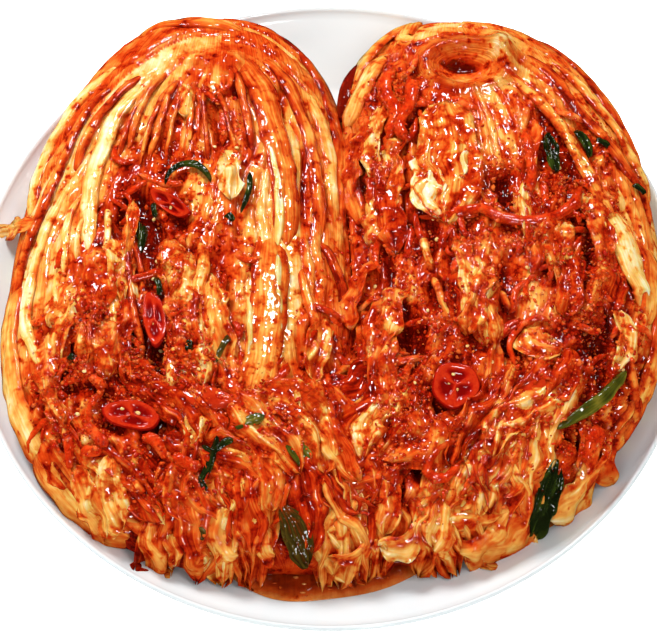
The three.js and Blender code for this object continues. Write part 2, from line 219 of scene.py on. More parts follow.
RIGHT_RIBS = (
    (8.0, 0.18, 0.2, (430, 36), (405, 38), (380, 48), (362, 66), (348, 90)),
    (5.0, 0.95, 0.4, (339, 84), (337, 100), (339, 122)),
    (8.0, 0.16, 0.1, (392, 52), (378, 68), (366, 90), (356, 110), (348, 128)),
    (9.0, 0.45, 0.2, (346, 128), (345, 150), (351, 180), (361, 222)),
    (5.5, 0.26, 0.25, (500, 60), (528, 92), (549, 117), (570, 146), (585, 180), (602, 208), (622, 240)),
    (
        5.5, 0.55, 0.4,
        (508, 44), (539, 65), (561, 90), (580, 117), (602, 142), (622, 168), (639, 192), (650, 229),
    ),
    (4.5, 0.22, 0.25, (535, 46), (560, 68), (590, 102), (615, 133), (631, 163), (644, 188), (651, 212)),
    (
        6.0, 0.48, 0.3,
        (511, 28), (540, 42), (572, 63), (600, 93), (620, 122), (637, 150), (650, 186), (656, 220),
    ),
    (4.5, 0.45, 0.4, (560, 128), (578, 158), (592, 186), (600, 206)),
    (11.0, 0.06, 0.0, (606, 204), (616, 231), (624, 254), (632, 274), (641, 290), (646, 312)),
    (10.0, 0.38, 0.25, (640, 236), (648, 262), (650, 290), (648, 325)),
    (6.0, 0.35, 0.25, (655, 262), (657, 300), (656, 340), (650, 390), (643, 428), (624, 462)),
    (4.0, 0.15, 0.2, (414, 172), (420, 186), (432, 205), (445, 222)),
    (4.0, 0.25, 0.3, (480, 250), (474, 270), (466, 292)),
    (3.5, 0.15, 0.3, (490, 286), (485, 300), (481, 314)),
    (3.5, 0.40, 0.3, (498, 290), (503, 301), (508, 312)),
    (3.5, 0.25, 0.3, (433, 276), (440, 294), (446, 310), (453, 326)),
    (3.5, 0.05, 0.3, (422, 236), (427, 254), (433, 272)),
    (4.0, 0.55, 0.4, (610, 315), (620, 345), (627, 375), (630, 411), (620, 446)),
    (3.5, 0.60, 0.4, (628, 372), (634, 402), (632, 430), (622, 460)),
    (3.5, 0.50, 0.3, (640, 366), (645, 396), (640, 428), (628, 462)),
    (3.5, 0.65, 0.4, (651, 366), (652, 396), (648, 424), (638, 452)),
    (4.0, 0.50, 0.3, (604, 440), (592, 464), (574, 492), (560, 512)),
)

# Leaf pieces: width in mm, tone, sauce and picture points from their base to their tip.
LEFT_LEAVES = (
    (10.0, 0.22, 0.2, (224, 153), (229, 170), (232, 186), (230, 200)),
    (7.0, 0.35, 0.2, (185, 90), (188, 104), (186, 120)),
    (14.0, 0.27, 0.3, (112, 458), (108, 478), (114, 504), (126, 528)),
    (9.0, 0.22, 0.3, (200, 414), (196, 430), (190, 444)),
    (8.0, 0.42, 0.4, (222, 505), (218, 535), (232, 560), (240, 582)),
    (12.0, 0.45, 0.4, (262, 440), (268, 462), (274, 485), (270, 512)),
    (6.0, 0.42, 0.3, (264, 530), (270, 552), (276, 576)),
    (14.0, 0.75, 0.5, (300, 470), (306, 500), (308, 530), (304, 560)),
    (
        5.0, 0.46, 0.2,
        (314, 436), (323, 470), (326, 495), (340, 513), (356, 528), (364, 541), (353, 552), (326, 566),
    ),
    (4.5, 0.40, 0.2, (350, 456), (333, 464), (334, 478), (344, 489), (340, 508)),
    (8.0, 0.42, 0.4, (150, 520), (152, 540), (152, 566)),
    (6.0, 0.45, 0.4, (174, 532), (176, 546), (178, 562)),
    (9.0, 0.36, 0.3, (74, 466), (86, 488), (98, 508), (112, 532)),
    (8.0, 0.50, 0.4, (48, 440), (60, 462), (74, 484)),
    (12.0, 0.60, 0.4, (240, 470), (246, 500), (252, 530), (256, 566)),
    (12.0, 0.60, 0.4, (186, 500), (194, 530), (200, 556), (210, 580)),
)
RIGHT_LEAVES = (
    (25.0, 0.40, 0.42, (446, 104), (448, 140), (450, 180), (446, 226)),
    (12.0, 0.10, 0.15, (424, 156), (428, 178), (430, 200), (438, 222)),
    (7.0, 0.15, 0.2, (460, 150), (462, 165), (464, 182)),
    (10.0, 0.50, 0.4, (548, 230), (556, 248), (560, 268)),
    (9.0, 0.50, 0.4, (530, 236), (534, 254), (536, 276)),
    (12.0, 0.40, 0.3, (522, 336), (538, 348), (560, 352)),
    (15.0, 0.38, 0.12, (572, 366), (560, 396), (546, 428), (534, 462), (524, 500)),
    (9.0, 0.20, 0.2, (618, 312), (622, 334), (620, 356), (614, 374)),
    (10.0, 0.45, 0.3, (506, 446), (520, 480), (526, 519), (516, 545), (502, 558)),
    (6.5, 0.40, 0.3, (512, 510), (498, 530), (478, 545), (455, 562)),
    (11.0, 0.30, 0.3, (486, 474), (482, 490), (478, 512)),
    (7.5, 0.35, 0.25, (590, 458), (576, 486), (571, 506), (551, 521)),
    (10.0, 0.42, 0.3, (384, 470), (388, 500), (384, 532)),
    (6.0, 0.30, 0.2, (420, 520), (408, 540), (394, 554), (378, 569)),
    (7.0, 0.50, 0.4, (606, 430), (600, 456), (590, 476)),
    (9.0, 0.55, 0.5, (590, 422), (584, 444), (574, 468)),
    (8.0, 0.60, 0.5, (566, 440), (560, 458), (552, 476)),
    (12.0, 0.32, 0.2, (440, 500), (436, 530), (430, 556)),
    (12.0, 0.60, 0.4, (370, 430), (372, 460), (376, 490)),
)

# A leaf end that sticks out past the outline, listed as the leaf pieces are.
LEFT_FLAPS = ((8.0, 0.42, 0.2, (40, 224), (26, 228), (12, 232), (0, 236)),)

# Radish shreds that stand out: width in mm and picture points.
LEFT_SHREDS = (
    (4.0, (88, 425), (100, 436), (111, 449)),
    (3.6, (84, 450), (96, 452), (107, 452)),
    (3.8, (143, 436), (156, 446), (168, 460)),
    (4.2, (175, 456), (188, 464), (202, 467)),
    (3.6, (70, 432), (74, 452), (73, 470)),
)
RIGHT_SHREDS = (
    (5.0, (438, 221), (459, 215), (480, 213), (497, 223), (518, 225), (555, 221), (574, 209), (578, 192)),
    (5.0, (524, 133), (530, 165), (532, 198)),
    (5.5, (599, 428), (586, 440), (579, 462)),
    (4.0, (458, 440), (434, 451), (425, 473), (440, 481), (462, 460)),
    (5.5, (396, 72), (387, 94), (398, 118), (391, 142)),
    (5.0, (410, 82), (414, 104), (402, 128), (408, 146)),
)

# Seeds that lie loose on the paste of each half.
LOOSE_SEEDS = 26
# Chilli slices: node, half, middle, length and width in mm, heading, tilt about the length, and how many
# seeds show.
CHILLIES = (
    ("chilli_slice_1", "left", -70, 25.7, 24, 8, -0.68, 0.35, 1),
    ("chilli_slice_2", "left", -75.5, -31.5, 27, 10, 1.73, 0.2, 1),
    ("chilli_slice_3", "left", -84, -76, 25, 13, -0.15, 0.0, 2),
    ("chilli_slice_4", "right", 53.2, -63, 21, 20, 0.6, 0.0, 4),
)
CHILLI_THICK = 3.2
# How far a slice lies above the smooth half.
CHILLI_LIFT = 2.4

# Small bits of spring onion and leaf: the half, the finish, width in mm and picture points.
GREEN_BITS = (
    ("left", "dark", 3.0, (225, 217), (229, 221), (233, 225)),
    ("left", "dark", 2.6, (156, 206), (157, 214), (158, 221)),
    ("left", "dark", 2.8, (139, 226), (140, 234), (140, 243)),
    ("left", "dark", 2.6, (158, 281), (161, 290), (163, 299)),
    ("left", "dark", 3.0, (172, 333), (177, 334), (182, 337)),
    ("left", "dark", 2.8, (189, 341), (191, 347), (192, 354)),
    ("left", "dark", 3.0, (70, 358), (74, 360), (79, 362)),
    ("left", "olive", 3.6, (196, 527), (202, 529), (208, 532)),
    ("left", "dark", 2.6, (203, 446), (214, 453), (225, 445), (235, 441)),
    ("left", "dark", 2.6, (200, 476), (203, 484), (207, 491)),
    ("left", "light", 5.0, (238, 430), (250, 422), (263, 416)),
    ("left", "light", 7.0, (288, 440), (297, 452), (307, 465)),
    ("left", "olive", 6.0, (226, 338), (216, 352), (207, 367)),
    ("right", "dark", 3.4, (592, 143), (599, 147), (606, 150)),
    ("right", "dark", 3.0, (629, 187), (634, 192), (639, 197)),
)

# Sauce that stands in the folds: the half, width in mm and picture points.
PUDDLES = (
    ("left", 9.0, (176, 399), (194, 395), (212, 398), (234, 404)),
    ("right", 15.0, (537, 364), (540, 384), (538, 404), (532, 430)),
)

# Greens wider than this, in mm, are creased leaves, and the others are thin strips.
BROAD_LEAF = 6
# Spring onion and leaf: node, half, middle, length and width in mm, heading, turn from end to end, and
# finish.
GREENS = (
    ("green_strip_1", "left", -62.5, 44.5, 28, 3, 0, -2.8, "dark"),
    ("green_strip_2", "left", -36.6, 31, 22, 2.6, 1.4, 0.3, "dark"),
    ("green_strip_3", "left", -82, 9, 15, 4, 1.4, 0.4, "dark"),
    ("green_strip_4", "left", -50, -96, 26, 3.4, 1.1, 0.9, "dark"),
    ("green_strip_5", "left", -33.5, -79.5, 14, 4.4, 0.5, 0.2, "light"),
    ("green_leaf_1", "left", -15, -121, 21, 12, -1.0, 0.3, "olive"),
    ("green_strip_6", "right", 98.3, 51, 20, 7, 1.8, 0.6, "dark"),
    ("green_strip_7", "right", 112.5, 59, 14, 4, 2.0, 0.4, "dark"),
    ("green_strip_8", "right", 111.5, -66, 42, 4.2, 0.75, 0.35, "light"),
    ("green_leaf_2", "right", 90, -102, 26, 9, 1.1, 0.2, "dark"),
)


# ------------------------------------------------------------------ numbers and noise
def ramp(low, high, value):
    """0 below low, 1 above high and smooth between."""
    share = np.clip((value - low) / (high - low), 0, 1)
    return share * share * (3 - 2 * share)


def lattice_value(cells, seed):
    """A repeatable random value from -1 to 1 for each whole-number cell."""
    mixed = (cells @ np.array((374761393, 668265263, 2147483629))[: cells.shape[-1]]) + seed * 1442695041
    mixed = ((mixed ^ (mixed >> 13)) * 1274126177) & 0xFFFFFFFF
    mixed = ((mixed ^ (mixed >> 15)) * 2246822519) & 0xFFFFFFFF
    return ((mixed >> 8) & 0xFFFF) / 32767.5 - 1


def noise(points, size, seed=0):
    """Smooth noise from -1 to 1 whose waves are about size mm wide."""
    scaled = np.asarray(points, float) / size + 17.31
    cells = np.floor(scaled).astype(np.int64)
    part = scaled - cells
    part = part * part * (3 - 2 * part)
    total = np.zeros(scaled.shape[:-1])
    for corner in itertools.product((0, 1), repeat=scaled.shape[-1]):
        weight = np.prod(np.where(np.array(corner) > 0, part, 1 - part), axis=-1)
        total += weight * lattice_value(cells + np.array(corner), seed)
    return total


def along_path(points, shares):
    """Points of a smooth curve through the given ones, at shares from 0 to 1 of its length."""
    points = np.asarray(points, float)
    steps = np.linalg.norm(np.diff(points, axis=0), axis=1)
    marks = np.concatenate(([0], np.cumsum(steps)))
    slopes = np.gradient(points, marks, axis=0)
    at = np.clip(shares, 0, 1) * marks[-1]
    i = np.clip(np.searchsorted(marks, at) - 1, 0, len(points) - 2)
    gap = (marks[i + 1] - marks[i])[:, None]
    t = (at[:, None] - marks[i][:, None]) / gap
    start, end = points[i], points[i + 1]
    return (
        start * (2 * t**3 - 3 * t**2 + 1)
        + slopes[i] * gap * (t**3 - 2 * t**2 + t)
        + end * (3 * t**2 - 2 * t**3)
        + slopes[i + 1] * gap * (t**3 - t**2)
    )


def in_picture(points):
    """Where points in mm lie in the picture."""
    away = np.asarray(points) - EYE
    depth = away @ FORWARD
    across = PICTURE[0] / 2 + FOCAL * (away @ SIDEWAYS) / depth
    down = PICTURE[1] / 2 - FOCAL * (away @ UPWARD) / depth
    return across, down


def paste_cover(points):
    """How much paste lies over each point, from 0 to 1."""
    across, down = in_picture(points)
    bare = np.ones(len(across))
    for mid_across, mid_down, half_width, half_height, amount in PASTE_PATCHES:
        away = np.hypot((across - mid_across) / half_width, (down - mid_down) / half_height)
        bare *= 1 - amount * np.exp(-(away**3))
    return 1 - bare


def cleft_depth(points):
    """How far in mm the gaps between leaves sink at each point."""
    across, down = in_picture(points)
    depth = np.zeros(len(across))
    for mid_across, mid_down, half_width, half_height, most in CLEFTS:
        away = np.hypot((across - mid_across) / half_width, (down - mid_down) / half_height)
        depth = np.maximum(depth, most * np.exp(-(away**3)))
    return depth


def seat_share(points):
    """1 where a chilli slice or a green lies, so that nothing stands up there, and 0 elsewhere."""
    near = np.zeros(len(points))
    for _, _, mid_x, mid_y, long, wide, heading, *_ in CHILLIES + GREENS:
        x, y = points[:, 0] - mid_x, points[:, 1] - mid_y
        along = x * math.cos(heading) + y * math.sin(heading)
        aside = y * math.cos(heading) - x * math.sin(heading)
        away = np.hypot(along / (0.5 * long + 1), aside / (0.5 * wide + 2))
        near = np.maximum(near, np.exp(-(away**4)))
    return near


# ------------------------------------------------------------------ forms
def plate_top(radius):
    """Height of the plate's upper face: flat in the middle, and curving up to the rim."""
    past = np.maximum(0, radius - FLAT_RADIUS) / (RIM_RADIUS - FLAT_RADIUS)
    return FLOOR_HEIGHT + (RIM_HEIGHT - FLOOR_HEIGHT) * past**2


def pool_radius(angle):
    """The juice's wavy outer edge; it shows past the leaf tips and hides under the heads elsewhere."""
    from_front = np.arctan2(np.sin(angle + 1.4), np.cos(angle + 1.4))
    shown = np.exp(-((from_front / 1.15) ** 6))
    edge = POOL_RADIUS + 6.5 * np.cos(6.3 * (angle + 1.69)) + np.sin(17 * angle)
    edge += 5.7 * (angle + math.pi / 2) * shown
    return POOL_HIDDEN_RADIUS + (edge - POOL_HIDDEN_RADIUS) * shown


class HalfHead:
    """One half cabbage: the outline seen from above, and the dome of its cut side.

    It is widest at wide_y. The stem end and the tip end each have a length, a shift of the middle line and
    a roundness. The valley is a dip along the half: where it runs across, and how deep it is. The heart is
    the point that the leaves wrap round.
    """

    def __init__(self, node, side, mid_x, half_width, wide_y, stem, tips, valley, heart, seed):
        self.node, self.side, self.heart, self.seed = node, side, np.array(heart), seed
        self.mid_x, self.half_width, self.wide_y = mid_x, half_width, wide_y
        self.stem, self.tips, self.valley = stem, tips, valley

    def end(self, y, which):
        """The length (0), shift (1) or roundness (2) of the end that y lies in."""
        return np.where(y > self.wide_y, self.stem[which], self.tips[which])

    def share(self, y):
        """0 at the widest place and 1 at either end."""
        return np.clip(np.abs(y - self.wide_y) / self.end(y, 0), 0, 1)

    def shoulder(self, y):
        """The right half leans on the left one beside its stem; half of how far it stands out there."""
        return 3.2 * np.exp(-(((y - 96) / 20) ** 2)) if self.side > 0 else 0 * y

    def width(self, y):
        """Half the width of the half cabbage."""
        roundness = self.end(y, 2)
        width = self.half_width * (1 - self.share(y) ** roundness) ** (1 / roundness)
        return width + self.shoulder(y) * np.minimum(1, width / 20)

    def centre(self, y):
        """Where the middle line runs."""
        return self.mid_x + self.end(y, 1) * self.share(y) ** 2 - self.shoulder(y)

    def edge_height(self, x, y):
        """Height of the outline, where the cut side meets the side walls."""
        side = SIDE_HEIGHT - np.where(y > self.wide_y, 0, TIP_DROP * self.share(y) ** 2)
        return np.maximum(side, plate_top(np.hypot(x, y)) + BED_GAP + 0.5)

    def height(self, s, y):
        """Height of the smooth cut side; s runs from -1 at the left edge to 1 at the right one."""
        share = self.share(y)
        # The dome ends bluntly at the stem and slopes down slowly to the tips.
        closing = np.where(y > self.wide_y, 4.0, 2.4)
        crown = RISE * (1 - share**closing) ** (1 / 2.2)
        dome = crown * np.sqrt(np.maximum(0, 1 - np.abs(s) ** CROSS_POWER))
        side = SIDE_HEIGHT - np.where(y > self.wide_y, 0, TIP_DROP * share**2)
        middle = np.exp(-(((y + 20) / 70) ** 4))
        dip = self.valley[1] * middle * np.exp(-(((s - self.valley[0]) / 0.2) ** 2))
        return side + dome - dip

    def smooth(self, s, y):
        """Points of the smooth cut side."""
        x = self.centre(y) + s * self.width(y)
        return np.stack((x, y, np.maximum(self.height(s, y), self.edge_height(x, y))), axis=-1)

    def normal(self, s, y):
        """Normals of the smooth cut side."""
        step = 0.012
        inner = np.clip(s, -0.985, 0.985)
        lengthwise = self.smooth(inner, y + 1) - self.smooth(inner, y - 1)
        crosswise = self.smooth(inner + step, y) - self.smooth(inner - step, y)
        out = np.cross(crosswise, lengthwise)
        return out / (np.linalg.norm(out, axis=-1, keepdims=True) + 1e-9)

    def drape(self, x, y):
        """Points and normals of the smooth cut side; past the outline they fall away to the plate."""
        y_in = np.clip(y, self.wide_y - 0.97 * self.tips[0], self.wide_y + 0.97 * self.stem[0])
        width = self.width(y_in)
        s = (x - self.centre(y_in)) / width
        s_in = np.clip(s, -0.97, 0.97)
        over = np.hypot((s - s_in) * width, y - y_in)
        z = np.maximum(self.height(s_in, y_in) - 2.6 * over, plate_top(np.hypot(x, y)) + 0.5)
        return np.stack((x, y, z), axis=-1), self.normal(s_in, y_in)

    def spot(self, across, down):
        """The place on this half, seen from above, that shows at a picture point."""
        across, down = np.atleast_1d(across).astype(float), np.atleast_1d(down).astype(float)
        ray = (
            FORWARD
            + ((across - PICTURE[0] / 2) / FOCAL)[:, None] * SIDEWAYS
            + ((PICTURE[1] / 2 - down) / FOCAL)[:, None] * UPWARD
        )
        heights = np.arange(72, 6, -0.5)
        reach = (heights[None, :] - EYE[2]) / ray[:, 2:3]
        x = EYE[0] + reach * ray[:, 0:1]
        y = EYE[1] + reach * ray[:, 1:2]
        ground = self.drape(x, y)[0][..., 2]
        first = np.argmax(heights[None, :] <= ground + 0.25, axis=1)
        pick = np.arange(len(first))
        return np.stack((x[pick, first], y[pick, first]), axis=-1)

    def path(self, points, margin=0):
        """The places of picture points, kept on the half and some mm away from its outline."""
        corners = np.array(points, float)
        path = self.spot(corners[:, 0], corners[:, 1])
        first, last = self.wide_y - 0.96 * self.tips[0], self.wide_y + 0.985 * self.stem[0]
        path[:, 1] = np.clip(path[:, 1], first, last - 0.6 * margin)
        reach = 0.985 * self.width(path[:, 1])
        reach = np.maximum(0.5 * reach, reach - margin)
        path[:, 0] = np.clip(path[:, 0], self.centre(path[:, 1]) - reach, self.centre(path[:, 1]) + reach)
        return path

    def lanes(self, s, base):
        """Counts the leaves across; they wrap round the stem as in an onion, then run on to the tips."""
        away = (base[:, :2] - self.heart) / (38, -38)
        wrap = np.sign(away[:, 0]) * np.sqrt(np.maximum(0, np.hypot(away[:, 0], away[:, 1]) - away[:, 1]))
        run_on = ramp(70, -10, base[:, 1])
        lane = (1 - run_on) * 9.5 * wrap + run_on * 24 * (np.arccos(np.clip(-s, -1, 1)) / math.pi - 0.5)
        lane += 0.7 * noise(base, 40, self.seed) + 0.3 * noise(base, 15, self.seed + 1)
        return lane + 0.35 * np.sin(2.4 * lane + self.seed)

    def skin(self, s, y):
        """Points of the rough cut side, its normals, and its tone and sauce."""
        base, out = self.smooth(s, y), self.normal(s, y)
        paste = paste_cover(base)
        leafy = ramp(-40, -95, y)
        lane = self.lanes(s, base)
        number = np.floor(lane)
        part = lane - number
        overlap = np.where(lane > 0, part, 1 - part)
        ridge = 0.75 * np.sqrt(np.maximum(0, 4 * part * (1 - part))) + 0.4 * overlap**2
        near_heart = np.hypot(base[:, 0] - self.heart[0], base[:, 1] - self.heart[1])
        own = lattice_value(number[:, None].astype(np.int64), self.seed)
        bare = (1 - 0.85 * paste) * (1 - leafy)
        # Folds run with the leaves, coarse ones 9 mm apart and fine ones 4 mm apart.
        bent = base + 4 * noise(base, 16, 5)[:, None]
        fold = 1 - 2 * np.abs(noise(bent * np.array((1, 0.26, 1)), 9, self.seed + 2))
        fold_fine = 1 - 2 * np.abs(noise(bent * np.array((1, 0.4, 1)), 4.2, self.seed + 4))
        clump = ramp(-0.1, 0.5, noise(base, 13, self.seed + 6))
        crumbs = 0.8 * noise(base, 3.2, 9) + 0.3 * noise(base, 1.8, 10)
        # Bare leaves overlap in lanes; the paste and the leafy tips lie in folds.
        relief = bare * ((2.4 * ridge + 0.8 * own) * ramp(0, 30, near_heart) - 1.2)
        relief += paste * (5.0 * fold + 2.0 * fold_fine + 1.5 * clump + (0.8 + clump) * crumbs - 3.4)
        relief += leafy * (2.4 * fold + 1.2 * fold_fine - 1.6) + 0.25 * noise(base, 3, 12)
        sunk, seat = cleft_depth(base), seat_share(base)
        relief = relief * (1 - 0.6 * seat) + 0.3 * seat - sunk
        ends = np.clip(8 * (1 - np.abs(s)), 0, 1) * np.clip(20 * (1 - self.share(y)), 0, 1)
        relief = relief * ends
        # Hollows and clefts are darker and redder, partly from sauce that settles there and partly as
        # painted shade; ridges stay pale.
        tone = 0.55 + (0.18 * own - 0.08) * bare + 0.12 * noise(base, 30, self.seed + 3)
        tone += 0.27 * paste + 0.08 * leafy - 0.22 * (ridge - 0.7) * bare
        tone += 0.16 * np.exp(-((near_heart / 34) ** 2)) * bare
        # Painted shade: the clefts, and the low ground under the paste, are painted darker.
        tone += 0.13 * sunk - (1 - bare) * 0.11 * (relief + sunk - 0.5)
        tone = np.maximum(tone + 0.2 * leafy * (1 - paste), 0.34 * (1 - bare))
        sauce = 0.04 + 0.56 * np.maximum(paste, 0.6 * leafy) + 0.22 * (1 - ridge) * bare
        sauce += 0.08 * sunk - (1 - bare) * 0.34 * np.maximum(fold - 0.2, 0) + 0.16 * clump * paste
        points = base + out * relief[:, None]
        rise, stem_tone, cut = self.stem_form(points)
        points[:, 2] += rise * ends
        tone += (stem_tone - tone) * cut
        sauce += (0.2 - sauce) * cut
        seam = SEAM_X - SEAM_SLANT * points[:, 1]
        inner = np.minimum if self.side < 0 else np.maximum
        points[:, 0] = inner(points[:, 0], seam + self.side * SEAM_GAP)
        return points, out, tone, sauce

    def stem_form(self, points):
        """How far the cut stem rises, its tone, and where it is.

        The left half has a knob beside a small hollow, and the right one a bowl with a high rim.
        """
        x, y = points[:, 0] - self.heart[0], points[:, 1] - self.heart[1]
        if self.side < 0:
            knob = np.exp(-(np.hypot(x / 11, y / 7) ** 4))
            curl = np.exp(-(np.hypot((x + 13) / 6, (y - 1) / 3.5) ** 4))
            hollow = np.exp(-(np.hypot((x - 7) / 4.5, (y + 17) / 5) ** 4))
            lumps = noise(points, 5, 31)
            rise = knob * (3.5 + 2 * lumps) + 2.5 * curl - 5 * hollow
            # Painted shade: the small hollow is painted darker; the curl is paler.
            stem_tone = 0.74 + 0.26 * hollow - 0.32 * curl + 0.15 * lumps
            return rise, stem_tone, np.maximum(np.maximum(0.8 * knob, hollow), curl)
        far = np.hypot(x / 1.35, y)
        bowl = np.exp(-((far / 10.5) ** 4))
        rim = np.exp(-(((far - 14) / 3.5) ** 2))
        peak = np.exp(-(np.hypot((x - 17) / 6, (y - 12) / 9) ** 2))
        slot = np.exp(-(np.hypot((x + 1) / 8.5, (y - 3) / 3.2) ** 4))
        rise = 2.0 * rim * (1 + 0.6 * np.tanh(y / 4)) + 7 * peak - 6.5 * bowl - 4 * slot
        # Painted shade: the bowl, and most of all the slot, are painted darker; the peak is paler.
        stem_tone = 0.58 + 0.06 * bowl + 0.5 * slot - 0.46 * peak + 0.08 * noise(points, 7, 33)
        return rise, stem_tone, np.maximum(np.exp(-((far / 17) ** 6)), peak)


LEFT = HalfHead(
    "kimchi_half_left", side=-1, mid_x=-64.5, half_width=79.5, wide_y=-25, stem=(171, 10, 2.3),
    tips=(107, 45, 3.6), valley=(-0.22, 6), heart=(-50, 106), seed=11,
)
RIGHT = HalfHead(
    "kimchi_half_right", side=1, mid_x=76, half_width=73, wide_y=0, stem=(143.5, -17, 2.45),
    tips=(128, -52, 2.9), valley=(0.12, 5), heart=(62, 104), seed=29,
)
HEADS = {"left": LEFT, "right": RIGHT}


# ------------------------------------------------------------------ meshes
def corners_of(mesh):
    """The mesh's vertices as rows of x, y and z."""
    flat = np.empty(len(mesh.vertices) * 3)
    mesh.vertices.foreach_get("co", flat)
    return flat.reshape(-1, 3)


def mesh_from(form, name):
    """The finished form as a mesh."""
    mesh = bpy.data.meshes.new(name)
    form.to_mesh(mesh)
    form.free()
    return mesh


def move_corners(mesh, points):
    """Puts the mesh's vertices at the points, given in mm."""
    mesh.vertices.foreach_set("co", (points * MM).ravel())
    mesh.update()


def strip_mesh(across, along):
    """A closed flat strip: x from -1 to 1, y from 0 to 1, with its under layer at z below 0."""
    form = bmesh.new()
    bmesh.ops.create_grid(form, x_segments=across, y_segments=along, size=1)
    bmesh.ops.solidify(form, geom=form.faces[:], thickness=0.5)
    for vertex in form.verts:
        vertex.co.y = (vertex.co.y + 1) / 2
    return mesh_from(form, "strip")


def grain_mesh(subdivisions):
    """A small ball of radius 1."""
    form = bmesh.new()
    bmesh.ops.create_icosphere(form, subdivisions=subdivisions, radius=1)
    return mesh_from(form, "grain")


def turned(shape, angle):
    """The shape turned about the upright axis."""
    x, y = shape[..., 0], shape[..., 1]
    across = x * np.cos(angle) - y * np.sin(angle)
    return np.stack((across, x * np.sin(angle) + y * np.cos(angle), shape[..., 2]), axis=-1)


def joined(template, name, copies):
    """One mesh made of the template, once for each set of corners in mm."""
    form = bmesh.new()
    for _ in copies:
        form.from_mesh(template)
    mesh = mesh_from(form, name)
    move_corners(mesh, np.concatenate(copies))
    return mesh


def give(mesh, name, values):
    """Stores a number, or three, for each vertex, for the material to read."""
    values = np.asarray(values, float)
    kind = "FLOAT" if values.ndim == 1 else "FLOAT_VECTOR"
    attribute = mesh.attributes.new(name, kind, "POINT")
    attribute.data.foreach_set("value" if kind == "FLOAT" else "vector", values.ravel())


def add_piece(name, mesh, material, stands_for=()):
    """The finished mesh as a smooth-shaded piece of the dish."""
    mesh.name = name
    mesh.materials.append(material)
    mesh.polygons.foreach_set("use_smooth", [True] * len(mesh.polygons))
    mesh.update()
    piece = bpy.data.objects.new(name, mesh)
    bpy.context.scene.collection.objects.link(piece)
    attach(piece, "root")
    if stands_for:
        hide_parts(*stands_for)
    return piece


class Strips:
    """Strips of one make, such as ribs or shreds, that end up as one mesh."""

    def __init__(self, across, along, seed):
        self.template = strip_mesh(across, along)
        corners = corners_of(self.template)
        self.x, self.y = corners[:, 0], corners[:, 1]
        self.upper = corners[:, 2] > -0.25
        self.random = np.random.default_rng(seed)
        self.copies, self.strands, self.tones, self.sauces = [], [], [], []

    def lay(
        self, head, path, width, thick, tone, sauce, lift=0.0, sink=2.0, bury=0.0, pleats=0.0, pleat=0.0,
        ruffle=0.0, crumple=0.0, crinkle=0.0, wobble=0.1, taper=(0.1, 0.1), fade=0.0, rim=0.0,
        over_paste=0.0,
    ):
        """Lays one strip along a path on the half, seen from above. Sizes are in mm.

        lift is how far it lies above the smooth half, sink how far both ends dip and bury how far its
        start does. pleats counts its folds, and pleat, ruffle, crumple and crinkle are the heights of the
        folds, the wavy margin, the coarse waves and the fine ones. wobble is how much its width varies,
        taper the share of its length over which each end narrows, fade and rim how much redder its ends
        and margins are, and over_paste how far paste lifts it.
        """
        x, y = self.x, self.y
        length = np.linalg.norm(np.diff(path, axis=0), axis=1).sum()
        middle = along_path(path, y)
        ahead = along_path(path, y + 0.02) - along_path(path, y - 0.02)
        ahead /= np.linalg.norm(ahead, axis=1, keepdims=True) + 1e-9
        aside = np.stack((ahead[:, 1], -ahead[:, 0]), axis=-1)
        phase = self.random.uniform(0, 1, 4)
        start = np.minimum(1, y / taper[0])
        end = np.minimum(1, (1 - y) / taper[1])
        spread = width / 2 * (0.1 + 0.9 * (start * end) ** 0.4)
        edge_wave = noise(np.stack((y * length / 7, np.sign(x) * 3 + phase[0] * 50), axis=-1), 1, 3)
        spread = spread * (1 + wobble * edge_wave)
        plan = middle + aside * (x * spread)[:, None]
        base, out = head.drape(plan[:, 0], plan[:, 1])
        wander = noise(np.stack((y * length / 16, x * 0 + phase[1] * 90), axis=-1), 1, 4)
        grow = 0.45 + 0.55 * y
        fold = pleat * grow * np.sin(math.tau * (pleats * x / 2 + 0.45 * wander + phase[2]))
        frill = ruffle * np.abs(x) ** 3 * np.sin(math.tau * (y * length / 8.5 + phase[3]) + 2 * np.sign(x))
        # Crinkles about 2.8 mm apart run along a leaf, and branch as they go.
        bend = noise(np.stack((y * length / 6, x * width / 9 + phase[2] * 70), axis=-1), 1, 6)
        wrinkle = np.sin(math.tau * (x * width / 5.6 + 0.5 * bend + phase[3]))
        wrinkle = (1 - np.abs(wrinkle)) * 2 - 1
        bulge = np.sqrt(np.maximum(0, 1 - 0.88 * x**2)) * np.where(self.upper, 1, -0.5)
        # Even the lowest part of a fold lies on what is below.
        height = lift + over_paste * paste_cover(base) + fold + pleat * grow + frill + thick * bulge
        height = height + crinkle * wrinkle
        height = height - sink * np.abs(2 * y - 1) ** 4 - bury * (1 - ramp(0, 0.35, y))
        points = base + out * height[:, None]
        if crumple:
            shift = np.stack([noise(points, 7, seed) for seed in (21, 22, 23)], axis=-1)
            points = points + crumple * shift
        self.copies.append(points)
        strand = np.stack((x * width / 2, y * length, np.full(len(x), 50 * phase[0])), axis=-1)
        self.strands.append(strand)
        stain = tone + rim * x**2 + fade * (1 - ramp(0, 0.45, y)) + 0.5 * fade * ramp(0.8, 1, y)
        self.tones.append(stain - 0.12 * crinkle * wrinkle - 0.06 * fold)
        coat = sauce + 0.2 * x**2 - 0.1 * fold + 0.3 * (paste_cover(points) - 0.5)
        self.sauces.append(np.clip(coat, -0.5, 0.75))

    def add(self, name, material, slot, stands_for=()):
        mesh = joined(self.template, name, self.copies)
        give(mesh, "strand", np.concatenate(self.strands))
        give(mesh, "tone", np.concatenate(self.tones))
        give(mesh, "sauce", np.concatenate(self.sauces))
        return add_piece(name, mesh, material, stands_for)


# ------------------------------------------------------------------ materials
def colour(code):
    """An sRGB hex code as the linear colour that a shader takes."""
    channels = [int(code[i : i + 2], 16) / 255 for i in (1, 3, 5)]
    linear = [c / 12.92 if c <= 0.04045 else ((c + 0.055) / 1.055) ** 2.4 for c in channels]
    return (*linear, 1.0)


